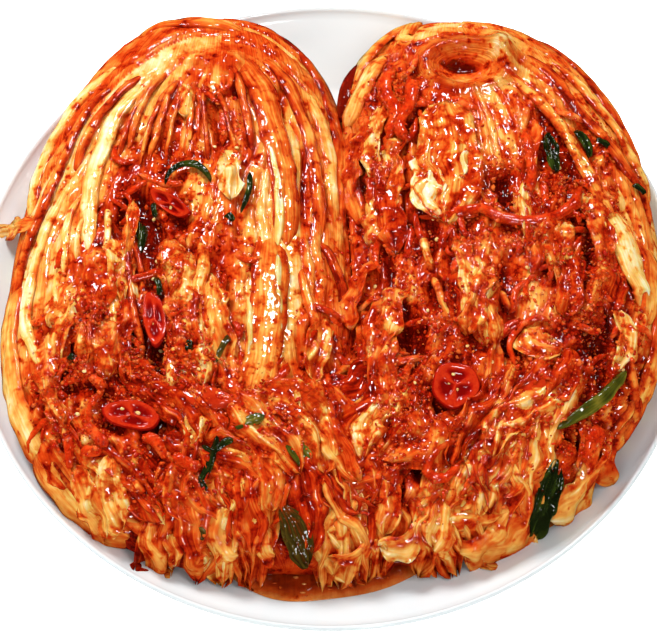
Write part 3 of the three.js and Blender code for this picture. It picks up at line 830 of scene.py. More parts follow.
def add_node(material, kind, inputs=None, stops=None, **settings):
    """A node with its settings; inputs maps a socket to a value, or to what feeds it."""
    tree = material.node_tree
    node = tree.nodes.new(kind)
    for name, value in settings.items():
        setattr(node, name, value)
    if stops:
        elements = node.color_ramp.elements
        while len(elements) < len(stops):
            elements.new(0.5)
        for element, (position, code) in zip(elements, stops):
            element.position = position
            element.color = colour(code) if isinstance(code, str) else (*code, 1.0)
    for socket, value in (inputs or {}).items():
        if isinstance(value, bpy.types.Node):
            value = value.outputs[0]
        if isinstance(value, bpy.types.NodeSocket):
            tree.links.new(value, node.inputs[socket])
        else:
            node.inputs[socket].default_value = value
    return node


def new_material(name):
    """An empty material, and the function that adds a node to it."""
    material = bpy.data.materials.new(name)
    material.use_nodes = True
    material.node_tree.nodes.clear()
    return material, partial(add_node, material)


def finish_material(material, inputs):
    """The Principled shader and the output."""
    shader = add_node(material, "ShaderNodeBsdfPrincipled", inputs)
    add_node(material, "ShaderNodeOutputMaterial", {"Surface": shader})
    return material


def per_mm(size):
    """The texture scale on Object coordinates, in metres, for a pattern of that size in mm."""
    return 1 / (size * MM)


def leaf_material(name, stains, wetness=0.24, scatter=0.25, fibre=0.5, crumbs=0.8, flakes=0.0, swell=0.3):
    """Brined cabbage: pale fibres stained from yellow to deep red by a wet film of chilli sauce.

    wetness is the roughness under the film, scatter how much light enters, fibre, crumbs and flakes how
    much of each shows, and swell the height of the film's swells in mm.
    """
    material, node = new_material(name)
    place = node("ShaderNodeTexCoord").outputs["Object"]
    tone = node("ShaderNodeAttribute", attribute_name="tone").outputs["Fac"]
    sauce = node("ShaderNodeAttribute", attribute_name="sauce").outputs["Fac"]
    strand = node("ShaderNodeAttribute", attribute_name="strand").outputs["Vector"]
    # Fibres are about 1 mm apart across the rib and run on for 15 mm along it.
    fibres = node("ShaderNodeMapping", {"Vector": strand, "Scale": (0.9, 0.06, 1)})
    streaks = node("ShaderNodeTexNoise", {"Vector": fibres, "Scale": 1.0, "Detail": 3.0})
    blotches = node("ShaderNodeTexNoise", {"Vector": place, "Scale": per_mm(8), "Detail": 2.0})
    patches = node(
        "ShaderNodeTexNoise", {"Vector": place, "Scale": per_mm(4.5), "Detail": 2.0, "Roughness": 0.5}
    )
    bare = node("ShaderNodeMath", {0: streaks, 1: fibre, 2: tone}, operation="MULTIPLY_ADD")
    bare = node("ShaderNodeMath", {0: blotches, 1: 0.7, 2: bare}, operation="MULTIPLY_ADD")
    bare = node("ShaderNodeMath", {0: bare, 1: 0.35 + fibre / 2}, operation="SUBTRACT")
    # The film of sauce lies in patches with soft edges.
    film = node("ShaderNodeMath", {0: patches, 1: 2.2, 2: sauce}, operation="MULTIPLY_ADD")
    film = node("ShaderNodeMath", {0: blotches, 1: 0.9, 2: film}, operation="MULTIPLY_ADD")
    film = node("ShaderNodeMapRange", {0: film, 1: 1.7, 2: 2.25}, interpolation_type="SMOOTHSTEP")
    thick = node("ShaderNodeMath", {0: bare, 1: 0.45, 2: 0.15}, operation="MULTIPLY_ADD")
    thick = node("ShaderNodeMath", {0: patches, 1: 0.6, 2: thick}, operation="MULTIPLY_ADD")
    # Ground chilli and garlic swell to crumbs about 2 mm across, each of its own shade, with the gaps
    # between them painted darker as painted shade.
    bend = node("ShaderNodeTexNoise", {"Vector": place, "Scale": per_mm(3.0), "Detail": 1.0})
    bent = node(
        "ShaderNodeVectorMath",
        {0: bend.outputs["Color"], 1: (4 * MM, 4 * MM, 4 * MM), 2: place},
        operation="MULTIPLY_ADD",
    )
    crumb = node("ShaderNodeTexVoronoi", {"Vector": bent, "Scale": per_mm(2.1)})
    shade = node("ShaderNodeSeparateColor", {0: crumb.outputs["Color"]}).outputs[1]
    # Painted shade: the gaps between the crumbs are painted darker.
    gap = node("ShaderNodeMapRange", {0: crumb, 1: 0.35, 2: 0.75, 4: 0.22 * crumbs})
    crumb_height = node("ShaderNodeMapRange", {0: crumb, 1: 0.75, 2: 0.1}, interpolation_type="SMOOTHSTEP")
    thick = node("ShaderNodeMath", {0: shade, 1: 0.2 * crumbs, 2: thick}, operation="MULTIPLY_ADD")
    thick = node("ShaderNodeMath", {0: thick, 1: gap}, operation="ADD")
    thick = node("ShaderNodeMath", {0: thick, 1: 0.14 * crumbs}, operation="SUBTRACT")
    stain = node("ShaderNodeMix", {0: film, 2: bare, 3: thick})
    stained = node("ShaderNodeValToRGB", {0: stain}, stops=stains)
    # Chilli flakes are about 1 mm across.
    cells = node("ShaderNodeTexVoronoi", {"Vector": place, "Scale": per_mm(1.6), "Randomness": 1.0})
    lot = node("ShaderNodeSeparateColor", {0: cells.outputs["Color"]})
    few = node("ShaderNodeMath", {0: sauce, 1: 0.5, 2: lot}, operation="MULTIPLY_ADD")
    rare = 1.26 - 0.18 * crumbs - flakes
    few = node("ShaderNodeMapRange", {0: few, 1: rare, 2: rare + 0.08})
    near = node("ShaderNodeMapRange", {0: cells, 1: 0.5, 2: 0.25, 4: 0.8})
    flake = node("ShaderNodeMath", {0: few, 1: near}, operation="MULTIPLY")
    flaked = node("ShaderNodeMix", {0: flake, 6: stained, 7: colour("#A81C08")}, data_type="RGBA")
    # Blisters about 2.8 mm wide; anything much finer would only dull the wet film.
    blisters = node(
        "ShaderNodeTexNoise", {"Vector": place, "Scale": per_mm(2.8), "Detail": 1.0, "Roughness": 0.4}
    )
    ropes = node("ShaderNodeTexNoise", {"Vector": fibres, "Scale": 0.7, "Detail": 0.0})
    rough = node("ShaderNodeMath", {0: film, 1: crumb_height, 2: flake}, operation="MULTIPLY_ADD")
    rough = node("ShaderNodeMath", {0: blisters, 1: 2.0 - fibre, 2: rough}, operation="MULTIPLY_ADD")
    rough = node("ShaderNodeMath", {0: ropes, 1: 2 * fibre, 2: rough}, operation="MULTIPLY_ADD")
    bump = node("ShaderNodeBump", {"Strength": 1.0, "Distance": 0.55 * MM, "Height": rough})
    # The sauce that clings to the leaf runs smooth over all this, in swells about 3 mm wide.
    swells = node("ShaderNodeTexNoise", {"Vector": place, "Scale": per_mm(3.0), "Detail": 0.5})
    film_bump = node("ShaderNodeBump", {"Strength": 1.0, "Distance": swell * MM, "Height": swells})
    return finish_material(
        material,
        {
            "Base Color": flaked.outputs[2],
            "Roughness": wetness,
            "IOR": 1.45,
            "Subsurface Weight": scatter,
            "Subsurface Radius": (1.0, 0.35, 0.08),
            "Subsurface Scale": 2.0 * MM,
            "Specular IOR Level": 0.0,
            "Coat Weight": 1.0,
            "Coat Roughness": 0.05,
            "Coat IOR": 1.6,
            "Normal": bump,
            "Coat Normal": film_bump,
        },
    )


def paste_material(name, tones):
    """Seasoning paste: ground chilli, garlic and fish sauce, a coarse wet mash with flakes in it."""
    material, node = new_material(name)
    place = node("ShaderNodeTexCoord").outputs["Object"]
    own = node("ShaderNodeAttribute", attribute_name="tone").outputs["Fac"]
    mixed = node(
        "ShaderNodeTexNoise", {"Vector": place, "Scale": per_mm(6), "Detail": 4.0, "Roughness": 0.6}
    )
    mixed = node("ShaderNodeMath", {0: mixed, 1: 0.8, 2: own}, operation="MULTIPLY_ADD")
    mixed = node("ShaderNodeMath", {0: mixed, 1: 0.4}, operation="SUBTRACT")
    body = node("ShaderNodeValToRGB", {0: mixed}, stops=tones)
    # Its grains are about 1.3 mm across, some of them dark flakes and a few pale garlic.
    cells = node("ShaderNodeTexVoronoi", {"Vector": place, "Scale": per_mm(1.3)})
    lot = node("ShaderNodeSeparateColor", {0: cells.outputs["Color"]})
    dark = node("ShaderNodeMapRange", {0: lot, 1: 0.72, 2: 0.78, 4: 0.3})
    flaked = node("ShaderNodeMix", {0: dark, 6: body, 7: colour("#7A0E05")}, data_type="RGBA")
    pale = node("ShaderNodeMapRange", {0: lot.outputs[1], 1: 0.92, 2: 0.96, 4: 0.4})
    speckled = node(
        "ShaderNodeMix", {0: pale, 6: flaked.outputs[2], 7: colour("#F08A3C")}, data_type="RGBA"
    )
    bump = node("ShaderNodeBump", {"Strength": 0.5, "Distance": 0.5 * MM, "Height": cells}, invert=True)
    return finish_material(
        material,
        {
            "Base Color": speckled.outputs[2],
            "Roughness": 0.3,
            "IOR": 1.45,
            "Subsurface Weight": 0.12,
            "Subsurface Radius": (1.0, 0.25, 0.1),
            "Subsurface Scale": 1.5 * MM,
            "Specular IOR Level": 0.0,
            "Coat Weight": 1.0,
            "Coat Roughness": 0.08,
            "Coat IOR": 1.5,
            "Normal": bump,
        },
    )


def plain_material(name, base, speckle, size, **surface):
    """A surface of one finish whose colour, base, drifts a little towards speckle over size mm."""
    material, node = new_material(name)
    place = node("ShaderNodeTexCoord").outputs["Object"]
    drift = node("ShaderNodeTexNoise", {"Vector": place, "Scale": per_mm(size), "Detail": 3.0})
    tones = node("ShaderNodeValToRGB", {0: drift}, stops=((0.3, base), (0.7, speckle)))
    bump = node("ShaderNodeBump", {"Strength": 0.25, "Distance": 0.3 * MM, "Height": drift})
    inputs = {"Base Color": tones, "Normal": bump}
    inputs.update({key.replace("_", " "): value for key, value in surface.items()})
    return finish_material(material, inputs)


def chilli_material():
    """Red chilli: a thin hard skin, paler wet flesh inside it and a hollow with the seeds."""
    material, node = new_material("Red chilli flesh")
    tone = node("ShaderNodeAttribute", attribute_name="tone").outputs["Fac"]
    place = node("ShaderNodeTexCoord").outputs["Object"]
    drift = node("ShaderNodeTexNoise", {"Vector": place, "Scale": per_mm(1.5)})
    mixed = node("ShaderNodeMath", {0: drift, 1: 0.5, 2: tone}, operation="MULTIPLY_ADD")
    mixed = node("ShaderNodeMath", {0: mixed, 1: 0.25}, operation="SUBTRACT")
    flesh = node("ShaderNodeValToRGB", {0: mixed}, stops=CHILLI_REDS)
    bump = node("ShaderNodeBump", {"Strength": 0.3, "Distance": 0.3 * MM, "Height": drift})
    return finish_material(
        material,
        {
            "Base Color": flesh,
            "Roughness": 0.25,
            "Specular IOR Level": 0.0,
            "Coat Weight": 0.7,
            "Coat Roughness": 0.05,
            "Subsurface Weight": 0.05,
            "Subsurface Radius": (1.0, 0.2, 0.1),
            "Subsurface Scale": 1.5 * MM,
            "Normal": bump,
        },
    )


# Brined leaf, from the bare cream rib through the stained margin to sauce that lies thick in a fold; its
# dark end is also painted shade in the clefts and hollows.
LEAF_STAINS = (
    (0.0, "#FFF3D2"),
    (0.16, "#FFDC9C"),
    (0.34, "#F5B152"),
    (0.52, "#E47428"),
    (0.68, "#D6420F"),
    (0.86, "#A81A04"),
    (1.0, "#640801"),
)
# The ribs take up less of the sauce, so they stay yellower.
RIB_STAINS = (
    (0.0, "#FFF6DC"),
    (0.16, "#FDE6AC"),
    (0.34, "#F8C264"),
    (0.52, "#EE9038"),
    (0.68, "#DE5A1A"),
    (0.86, "#B82A0A"),
    (1.0, "#741004"),
)
DARK_STAINS = ((0.0, "#6A7426"), (0.3, "#34400F"), (0.5, "#182008"), (0.75, "#0E1204"), (1.0, "#6A1404"))
OLIVE_STAINS = ((0.0, "#9A7428"), (0.3, "#5A4614"), (0.5, "#362A0A"), (0.7, "#7A3008"), (1.0, "#461204"))
GREEN_STAINS = ((0.0, "#A8943E"), (0.3, "#7A6E22"), (0.5, "#505012"), (0.7, "#363A0C"), (1.0, "#8E2A08"))
RADISH_STAINS = ((0.0, "#F8A856"), (0.3, "#F07430"), (0.55, "#E44814"), (0.8, "#CC2C08"), (1.0, "#921204"))
PASTE_REDS = ((0.0, "#941008"), (0.3, "#BE2006"), (0.6, "#DA3C0C"), (1.0, "#F07830"))
JUICE_STAINS = ((0.0, "#F4BC84"), (0.25, "#DE8038"), (0.5, "#BE4A14"), (0.75, "#922806"), (1.0, "#5E1402"))
JUICE_BITS = ((0.0, "#7E3A10"), (0.4, "#A8380E"), (0.7, "#CC5018"), (1.0, "#EEB060"))
CHILLI_REDS = ((0.0, "#7C0604"), (0.4, "#B01608"), (0.7, "#CC3412"), (1.0, "#E86434"))


# ------------------------------------------------------------------ light
# Three broad lamps give the soft shading, and small bright ones the crisp glints on the wet film: name,
# place and width in metres, power in watts, and whether it makes glints only.
LAMPS = (
    ("key", (-0.6, 0.9, 1.4), 0.5, 28, False),
    ("fill", (0.9, -0.4, 1.5), 0.8, 8, False),
    ("front_fill", (-0.5, -1.3, 1.1), 1.0, 6, False),
    ("glint_left", (-0.75, 0.75, 1.3), 0.22, 4.5, True),
    ("glint_middle", (-0.1, 1.05, 1.2), 0.22, 4.5, True),
    ("glint_right", (0.6, 0.8, 1.3), 0.22, 4.5, True),
    ("glint_front", (0.35, -0.6, 1.6), 0.22, 4.5, True),
    ("glint_low", (0.25, -1.5, 0.5), 0.22, 3.5, True),
)
# The wet film mirrors the lamps far more than the dim room round them.
ROOM_LIGHT, ROOM_MIRRORED = 0.39, 0.01


# ------------------------------------------------------------------ settings
class KimchiPlateSettings(bpy.types.PropertyGroup):
    glaze: FloatVectorProperty(
        name="Glaze",
        description="Colour of the plate's glaze",
        default=colour("#E6EDEE")[:3],
        subtype="COLOR",
        min=0.0,
        max=1.0,
    )
    lip: FloatProperty(
        name="Lip",
        description="Width of the rounded lip",
        default=0.0024,
        unit="LENGTH",
        min=0.001,
        max=0.006,
    )


class KimchiLeafSettings(bpy.types.PropertyGroup):
    rib_thickness: FloatProperty(
        name="Rib thickness", description="How proud a rib stands", default=0.0020, unit="LENGTH"
    )
    leaf_thickness: FloatProperty(
        name="Leaf thickness", description="Thickness of a leaf piece", default=0.0008, unit="LENGTH"
    )
    coated_pieces: IntProperty(
        name="Coated pieces", description="Leaf pieces under the paste on each half", default=45, min=0
    )


class KimchiPasteSettings(bpy.types.PropertyGroup):
    shreds: IntProperty(name="Shreds", description="Radish shreds on each half", default=170, min=0)
    shred_width: FloatProperty(
        name="Shred width", description="Width of a radish shred", default=0.0028, unit="LENGTH"
    )
    grains: IntProperty(name="Grains", description="Paste grains on each half", default=9000, min=2)


class KimchiJuiceSettings(bpy.types.PropertyGroup):
    bits: IntProperty(name="Bits", description="Bits afloat in the juice", default=60, min=1)


# ------------------------------------------------------------------ operators
class KIMCHI_OT_plate(bpy.types.Operator):
    """Turns the glazed porcelain plate"""

    bl_idname = "kimchi.plate"
    bl_label = "Plate"

    def execute(self, context):
        settings = context.scene.kimchi_plate
        lip = settings.lip / MM
        rim_top, inner = plate_top(RIM_RADIUS), RIM_RADIUS - lip
        hollow = FOOT_RADIUS - FOOT_WIDTH
        foot = [
            (0, FLOOR_HEIGHT - PLATE_WALL),
            (hollow, FLOOR_HEIGHT - PLATE_WALL),
            (hollow + 1, 0.4),
            (hollow + 1.6, 0),
            (FOOT_RADIUS - 0.6, 0),
            (FOOT_RADIUS, 0.5),
            (FOOT_RADIUS + 1, FOOT_HEIGHT),
        ]
        bend = (124, 134, 143, 152, RIM_RADIUS - 2)
        under = [(radius, plate_top(radius) - PLATE_WALL) for radius in bend]
        edge = [
            (RIM_RADIUS - 0.3, rim_top - 2.6),
            (RIM_RADIUS, rim_top - 1.4),
            (RIM_RADIUS - 0.6, rim_top - 0.2),
            (RIM_RADIUS - 0.5 * lip, rim_top),
            (inner, plate_top(inner) + 0.2),
            (inner - 0.8, plate_top(157) - 0.5),
        ]
        slope = (154, 150, 146, 142, 138, 134, 130, 126, 123, 120, 112)
        top = [(radius, plate_top(radius)) for radius in slope]
        outline = foot + under + edge + top + [(0, FLOOR_HEIGHT)]
        form = bmesh.new()
        corners = [form.verts.new((radius * MM, 0, height * MM)) for radius, height in outline]
        for first, second in zip(corners, corners[1:]):
            form.edges.new((first, second))
        bmesh.ops.spin(
            form, geom=form.verts[:] + form.edges[:], axis=(0, 0, 1), cent=(0, 0, 0), angle=math.tau,
            steps=160, use_merge=True,
        )
        bmesh.ops.remove_doubles(form, verts=form.verts, dist=1e-6)
        bmesh.ops.recalc_face_normals(form, faces=form.faces)
        mesh = mesh_from(form, "plate")
        # Glazed porcelain: a clear hard glaze over white clay, so it mirrors softly and stays white.
        material = plain_material(
            "Glazed porcelain", settings.glaze, "#E3EAEC", 60, Roughness=0.16, IOR=1.5, Coat_Weight=0.3,
            Coat_Roughness=0.05,
        )
        plate = add_piece("serving_plate", mesh, material, ("plate",))
        # The wet leaves would mirror so white a plate as a pale haze.
        plate.visible_glossy = False
        return {"FINISHED"}


class KIMCHI_OT_heads(bpy.types.Operator):
    """Shapes the two half cabbages with their ribs, folds and paste"""

    bl_idname = "kimchi.heads"
    bl_label = "Half cabbages"

    def execute(self, context):
        # Salted cabbage under its sauce: soft, lets a little light in, and is red wherever sauce has settled;
        # its clefts, hollows and crumb gaps are also painted darker, as painted shade.
        material = leaf_material("Brined cabbage under sauce", LEAF_STAINS, 0.3, flakes=0.1)
        for side, head in HEADS.items():
            form = bmesh.new()
            bmesh.ops.create_uvsphere(form, u_segments=330, v_segments=290, radius=1)
            mesh = mesh_from(form, head.node)
            x, y, z = corners_of(mesh).T
            along = np.clip(z, -1, 1)
            turn = (np.arctan2(y, x) / math.tau) % 1.0
            # Most of the ball's corners go to the cut side, the rest to the side walls and below.
            top_share = 0.85
            on_top = turn <= top_share
            angle = np.where(on_top, turn / top_share, (turn - top_share) / (1 - top_share)) * math.pi
            s = np.where(on_top, -np.cos(angle), np.cos(angle))
            reach = np.where(along > 0, head.stem[0], head.tips[0])
            place_y = head.wide_y + along * reach
            points, _, tone, sauce = head.skin(s, place_y)
            smooth = head.smooth(s, place_y)
            bed = plate_top(np.hypot(smooth[:, 0], smooth[:, 1])) + BED_GAP
            edge = head.edge_height(smooth[:, 0], place_y)
            belly = 0.9 * edge * np.sin(angle) ** 0.5 * np.minimum(1, (1 - along**2) * 3)
            # The side walls belly down from the outline to the plate.
            under = smooth.copy()
            under[:, 2] = np.minimum(edge, np.maximum(edge - belly, bed))
            # The outer leaves lie in folds on the side walls.
            bent = under * (1, 1, 0.4) + 3 * noise(under, 14, 8)[:, None]
            folds = 1 - 2 * np.abs(noise(bent, 8, head.seed + 8))
            inward = np.stack((smooth[:, 0] - head.mid_x, place_y - head.wide_y, 0 * s), axis=-1)
            inward /= np.linalg.norm(inward, axis=1, keepdims=True) + 1e-9
            under -= inward * ((1 - folds) * 1.6 * np.minimum(1, 6 * np.sin(angle)))[:, None]
            points = np.where(on_top[:, None], points, under)
            near_tips = ramp(-50, -100, place_y)
            # Painted shade: the side walls are painted darker towards the leaf tips, where they lie in shade
            # under the tips, and darker in the hollows of their folds.
            tone = np.where(on_top, tone, 0.42 + 0.32 * near_tips - 0.2 * folds)
            sauce = np.where(on_top, sauce, 0.1 + 0.4 * near_tips)
            move_corners(mesh, points)
            arc = head.half_width * np.arccos(np.clip(-s, -1, 1))
            # On the right half's cut stem the fibres are seen end on, in rings.
            from_heart = points[:, :2] - head.heart
            far = np.hypot(from_heart[:, 0] / 1.35, from_heart[:, 1])
            ring = np.exp(-((far / 17) ** 6)) if head is RIGHT else 0 * far
            across = arc + (far - arc) * ring
            along = place_y + (8 * np.arctan2(from_heart[:, 0], from_heart[:, 1]) - place_y) * ring
            give(mesh, "strand", np.stack((across, along, s * 0 + head.seed), axis=-1))
            give(mesh, "tone", tone)
            give(mesh, "sauce", sauce)
            add_piece("cabbage_" + side, mesh, material, (head.node,))
        return {"FINISHED"}


class KIMCHI_OT_leaves(bpy.types.Operator):
    """Lays the pale ribs and the wavy leaf pieces"""

    bl_idname = "kimchi.leaves"
    bl_label = "Ribs and leaves"

    def execute(self, context):
        settings = context.scene.kimchi_leaf
        rib_thick = settings.rib_thickness / MM
        leaf_thick = settings.leaf_thickness / MM
        # A rib is firm and pale and lets light in, with fibres along it. A leaf piece is thin and wet, and
        # takes up more sauce.
        rib_finish = leaf_material("Brined cabbage rib", RIB_STAINS, 0.24, 0.35, 0.7, 0.5, 0.18)
        leaf_finish = leaf_material("Brined cabbage leaf", LEAF_STAINS, 0.24, 0.3, 0.85, 0.35)
        listed = {"left": (LEFT_RIBS, LEFT_LEAVES, LEFT_FLAPS), "right": (RIGHT_RIBS, RIGHT_LEAVES, ())}
        for side, (ribs, leaves, flaps) in listed.items():
            head = HEADS[side]
            strips = Strips(8, 90, head.seed)
            for width, tone, sauce, *points in ribs:
                strips.lay(
                    head, head.path(points, 0.4 * width), width, rib_thick, tone + 0.16,
                    sauce * 0.7 + 0.03, lift=0.8, sink=3.0, pleats=width / 5, pleat=0.35, crumple=0.5,
                    wobble=0.13, taper=(0.12, 0.12), fade=0.16, rim=0.28, over_paste=1.8, bury=1.8,
                )
            strips.add("ribs_" + side, rib_finish, "cabbage")
            pieces = Strips(18, 26, head.seed + 1)
            for width, tone, sauce, *points in leaves:
                pieces.lay(
                    head, head.path(points), width, leaf_thick, tone + 0.09, sauce * 0.8 + 0.05, lift=3.0,
                    sink=2.0, pleats=min(width / 6, 2.2), pleat=1.2, ruffle=0.8, crumple=1.8, wobble=0.2,
                    taper=(0.15, 0.25), crinkle=0.15,
                )
            for width, tone, sauce, *points in flaps:
                pieces.lay(
                    head, head.path(points, -16), width, leaf_thick, tone, sauce, lift=2.0, sink=0.5,
                    pleats=1.2, pleat=0.8, ruffle=0.8, crumple=1.0, taper=(0.2, 0.35), crinkle=0.3,
                )
            random = np.random.default_rng(head.seed + 2)
            self.lay_coated(pieces, head, leaf_thick, settings.coated_pieces, random)
            pieces.add("leaves_" + side, leaf_finish, "cabbage")
            tips = Strips(20, 30, head.seed + 3)
            self.lay_tips(tips, head, leaf_thick, random)
            tips.add("leaf_tips_" + side, leaf_finish, "cabbage")
        return {"FINISHED"}

    def lay_coated(self, pieces, head, thick, count, random):
        """Lays the leaf pieces that lie under the paste."""
        laid = 0
        while laid < count:
            y, s = random.uniform(-70, 100), random.uniform(-0.78, 0.78)
            length, drift = random.uniform(20, 48), random.normal(0, 7)
            path = self.lane_path(head, s, y, y - length, drift)
            ground = head.drape(path[:, 0], path[:, 1])[0]
            hidden = seat_share(ground).max() > 0.05 or cleft_depth(ground).max() > 2
            if hidden or random.uniform() > paste_cover(ground)[0] or paste_cover(ground).min() < 0.45:
                continue
            laid += 1
            pieces.lay(
                head, path, random.uniform(6, 12), thick, random.uniform(0.32, 0.82),
                random.uniform(0.2, 0.6), lift=random.uniform(0.8, 3.6), sink=3.5,
                pleats=random.uniform(0.8, 1.6), pleat=1.4, ruffle=1.0, crumple=1.8, wobble=0.25,
                taper=(0.2, 0.2), crinkle=0.2, bury=1.0,
            )

    def lay_tips(self, tips, head, thick, random):
        """Lays the leaf ends in three rows that overlap, the outer row first."""
        for row, count in enumerate((17, 13, 10)):
            for number in range(count):
                s = 1.84 * (number + 0.5 + random.uniform(-0.3, 0.3)) / count - 0.92
                if head is LEFT and s < -0.7:
                    continue
                near_end = head.wide_y - 0.86 * head.tips[0]
                x = head.centre(near_end) + s * head.width(near_end)
                rows = np.linspace(head.wide_y - 20, head.wide_y - head.tips[0], 240)
                inside = np.abs(x - head.centre(rows)) < head.width(rows)
                edge = rows[inside].min() if inside.any() else -60.0
                last = edge - random.uniform(1.5, 4.5) + 17 * row * random.uniform(0.8, 1.2)
                long = random.uniform(32, 62) - 5 * row
                wave = random.normal(0, 8, 3)
                shares = np.array((0, 0.3, 0.65, 1.0))
                y = last + long * (1 - shares)
                lane = head.centre(y) + s * head.width(y)
                bent = np.append(wave, random.normal(0, 4))
                path = np.stack((x + (lane - x) * (1 - shares) + bent, y), axis=-1)
                if seat_share(path).max() > 0.3:
                    continue
                tips.lay(
                    head, path, random.uniform(11, 21), thick, random.uniform(0.36, 0.86),
                    random.uniform(0.25, 0.6), lift=random.uniform(-0.4, 1.2) + 1.3 * row, sink=1.2,
                    pleats=random.uniform(1.4, 2.4), pleat=1.7, ruffle=0.8, crumple=2.2, wobble=0.22,
                    taper=(0.25, 0.34), crinkle=0.15, fade=0.15, bury=2.0 + 1.3 * row,
                )

    def lane_path(self, head, s, first, last, drift):
        """A path that runs with the leaves towards their tips and drifts aside by some mm."""
        shares = np.linspace(0, 1, 6)
        y = np.maximum(first + (last - first) * shares, head.wide_y - head.tips[0] + 8)
        x = head.centre(y) + s * head.width(y) + drift * shares
        limit = np.maximum(0.5 * head.width(y), head.width(y) - 10)
        return np.stack((np.clip(x, head.centre(y) - limit, head.centre(y) + limit), y), axis=-1)


class KIMCHI_OT_shreds(bpy.types.Operator):
    """Strews the radish shreds"""

    bl_idname = "kimchi.shreds"
    bl_label = "Radish shreds"

    def execute(self, context):
        settings = context.scene.kimchi_paste
        width = settings.shred_width / MM
        # White radish soaks the paste up, so it looks orange red, smooth and wet.
        finish = leaf_material("Radish shreds stained by paste", RADISH_STAINS, 0.22, 0.3, 0.3, 0.5)
        for side, listed in (("left", LEFT_SHREDS), ("right", RIGHT_SHREDS)):
            head = HEADS[side]
            strips = Strips(3, 8, head.seed + 5)
            for wide, *points in listed:
                strips.lay(
                    head, head.path(points), wide, 2.2, 0.55, 0.6, lift=4.2, sink=2.0, crumple=1.0,
                    wobble=0.2,
                )
            random = np.random.default_rng(head.seed + 6)
            laid = 0
            while laid < settings.shreds:
                y = random.uniform(-110, 105)
                s = random.uniform(-0.9, 0.9)
                start = head.smooth(np.array([s]), np.array([y]))
                if random.uniform() > paste_cover(start)[0] ** 1.5:
                    continue
                laid += 1
                heading = random.uniform(0, math.tau)
                length = random.uniform(9, 22)
                turn = random.normal(0, 0.6)
                shares = np.linspace(-0.5, 0.5, 5)[:, None]
                angles = heading + turn * shares
                ahead = np.concatenate((np.cos(angles), np.sin(angles)), axis=1)
                path = start[0, :2] + length * shares * ahead
                if seat_share(path).max() > 0.05:
                    continue
                strips.lay(
                    head, path, width * random.uniform(0.75, 1.25), random.uniform(1.1, 1.7),
                    random.uniform(0.2, 0.9), random.uniform(0.4, 0.9), lift=random.uniform(0.4, 2.8),
                    sink=random.uniform(0.5, 3), crumple=1.4, wobble=0.3, taper=(0.2, 0.2),
                )
            strips.add("shreds_" + side, finish, "radish")
        return {"FINISHED"}


class KIMCHI_OT_paste(bpy.types.Operator):
    """Strews the paste grains and chilli flakes"""

    bl_idname = "kimchi.paste"
    bl_label = "Paste"

    def execute(self, context):
        settings = context.scene.kimchi_paste
        template = grain_mesh(1)
        ball = corners_of(template)
        # Ground chilli with garlic: wet, coarse and deep red, each grain with its own shade.
        finish = paste_material("Chilli paste", PASTE_REDS)
        for side, head in HEADS.items():
            random = np.random.default_rng(head.seed + 9)
            half = settings.grains // 2
            # Some of the places are bare, so more are drawn than are kept.
            y = random.uniform(-118, 112, 4 * half)
            s = random.uniform(-0.95, 0.95, 4 * half)
            points, out, _, _ = head.skin(s, y)
            grounds = [(points, out)]
            # The other half of the grains cling to the leaf pieces, the shreds and the leaf ends.
            for name in ("leaves_" + side, "shreds_" + side, "leaf_tips_" + side):
                grounds.append(self.upper_side(bpy.data.objects[name].data, random, 3 * half))
            picked = []
            for points, out in grounds:
                clump = ramp(-0.2, 0.4, noise(points, 13, head.seed + 6))
                chance = paste_cover(points) ** 1.3 * (0.15 + clump) * (1 - seat_share(points))
                kept = random.uniform(size=len(points)) < chance
                most = half if not picked else half // 3
                picked.append((points[kept][:most], out[kept][:most]))
            points = np.concatenate([points for points, _ in picked])
            out = np.concatenate([out for _, out in picked])
            count = len(points)
            size = 0.36 + 0.8 * random.uniform(0, 1, count) ** 3
            squeeze = random.uniform((0.8, 0.7, 0.25), (1.8, 1.2, 0.55), (count, 3))
            shape = squeeze[:, None, :] * ball[None] * size[:, None, None]
            angle = random.uniform(0, math.tau, (count, 1))
            lift = random.uniform(-0.2, 0.9, (count, 1))
            grains = turned(shape, angle) + (points + out * lift)[:, None, :]
            mesh = joined(template, "paste_" + side, list(grains))
            give(mesh, "tone", np.repeat(random.uniform(0.1, 0.9, count), len(ball)))
            add_piece("paste_" + side, mesh, finish)
        # Sauce that has run together: smooth, so it mirrors the lamps in long lines.
        pooled = plain_material(
            "Pooled kimchi sauce", "#D43A12", "#A81E08", 5, Roughness=0.1, Specular_IOR_Level=0.0,
            Coat_Weight=1.0, Coat_Roughness=0.03, Coat_IOR=1.6,
        )
        puddles = Strips(14, 24, 12)
        for side, width, *points in PUDDLES:
            head = HEADS[side]
            puddles.lay(
                head, head.path(points), width, 0.4, 0.5, 0.5, lift=3.4, sink=2.0, crumple=1.4, wobble=0.3,
                pleats=0.9, pleat=0.6, taper=(0.3, 0.3),
            )
        puddles.add("sauce_puddles", pooled, "juice")
        return {"FINISHED"}

    def upper_side(self, mesh, random, count):
        """Places on a finished mesh that face up, and their normals."""
        normals = np.empty(len(mesh.vertices) * 3)
        mesh.vertices.foreach_get("normal", normals)
        normals = normals.reshape(-1, 3)
        places = np.flatnonzero(normals[:, 2] > 0.4)
        places = places[random.integers(0, len(places), count)]
        spread = random.normal(0, 0.5, (count, 3))
        return corners_of(mesh)[places] / MM + spread, normals[places]


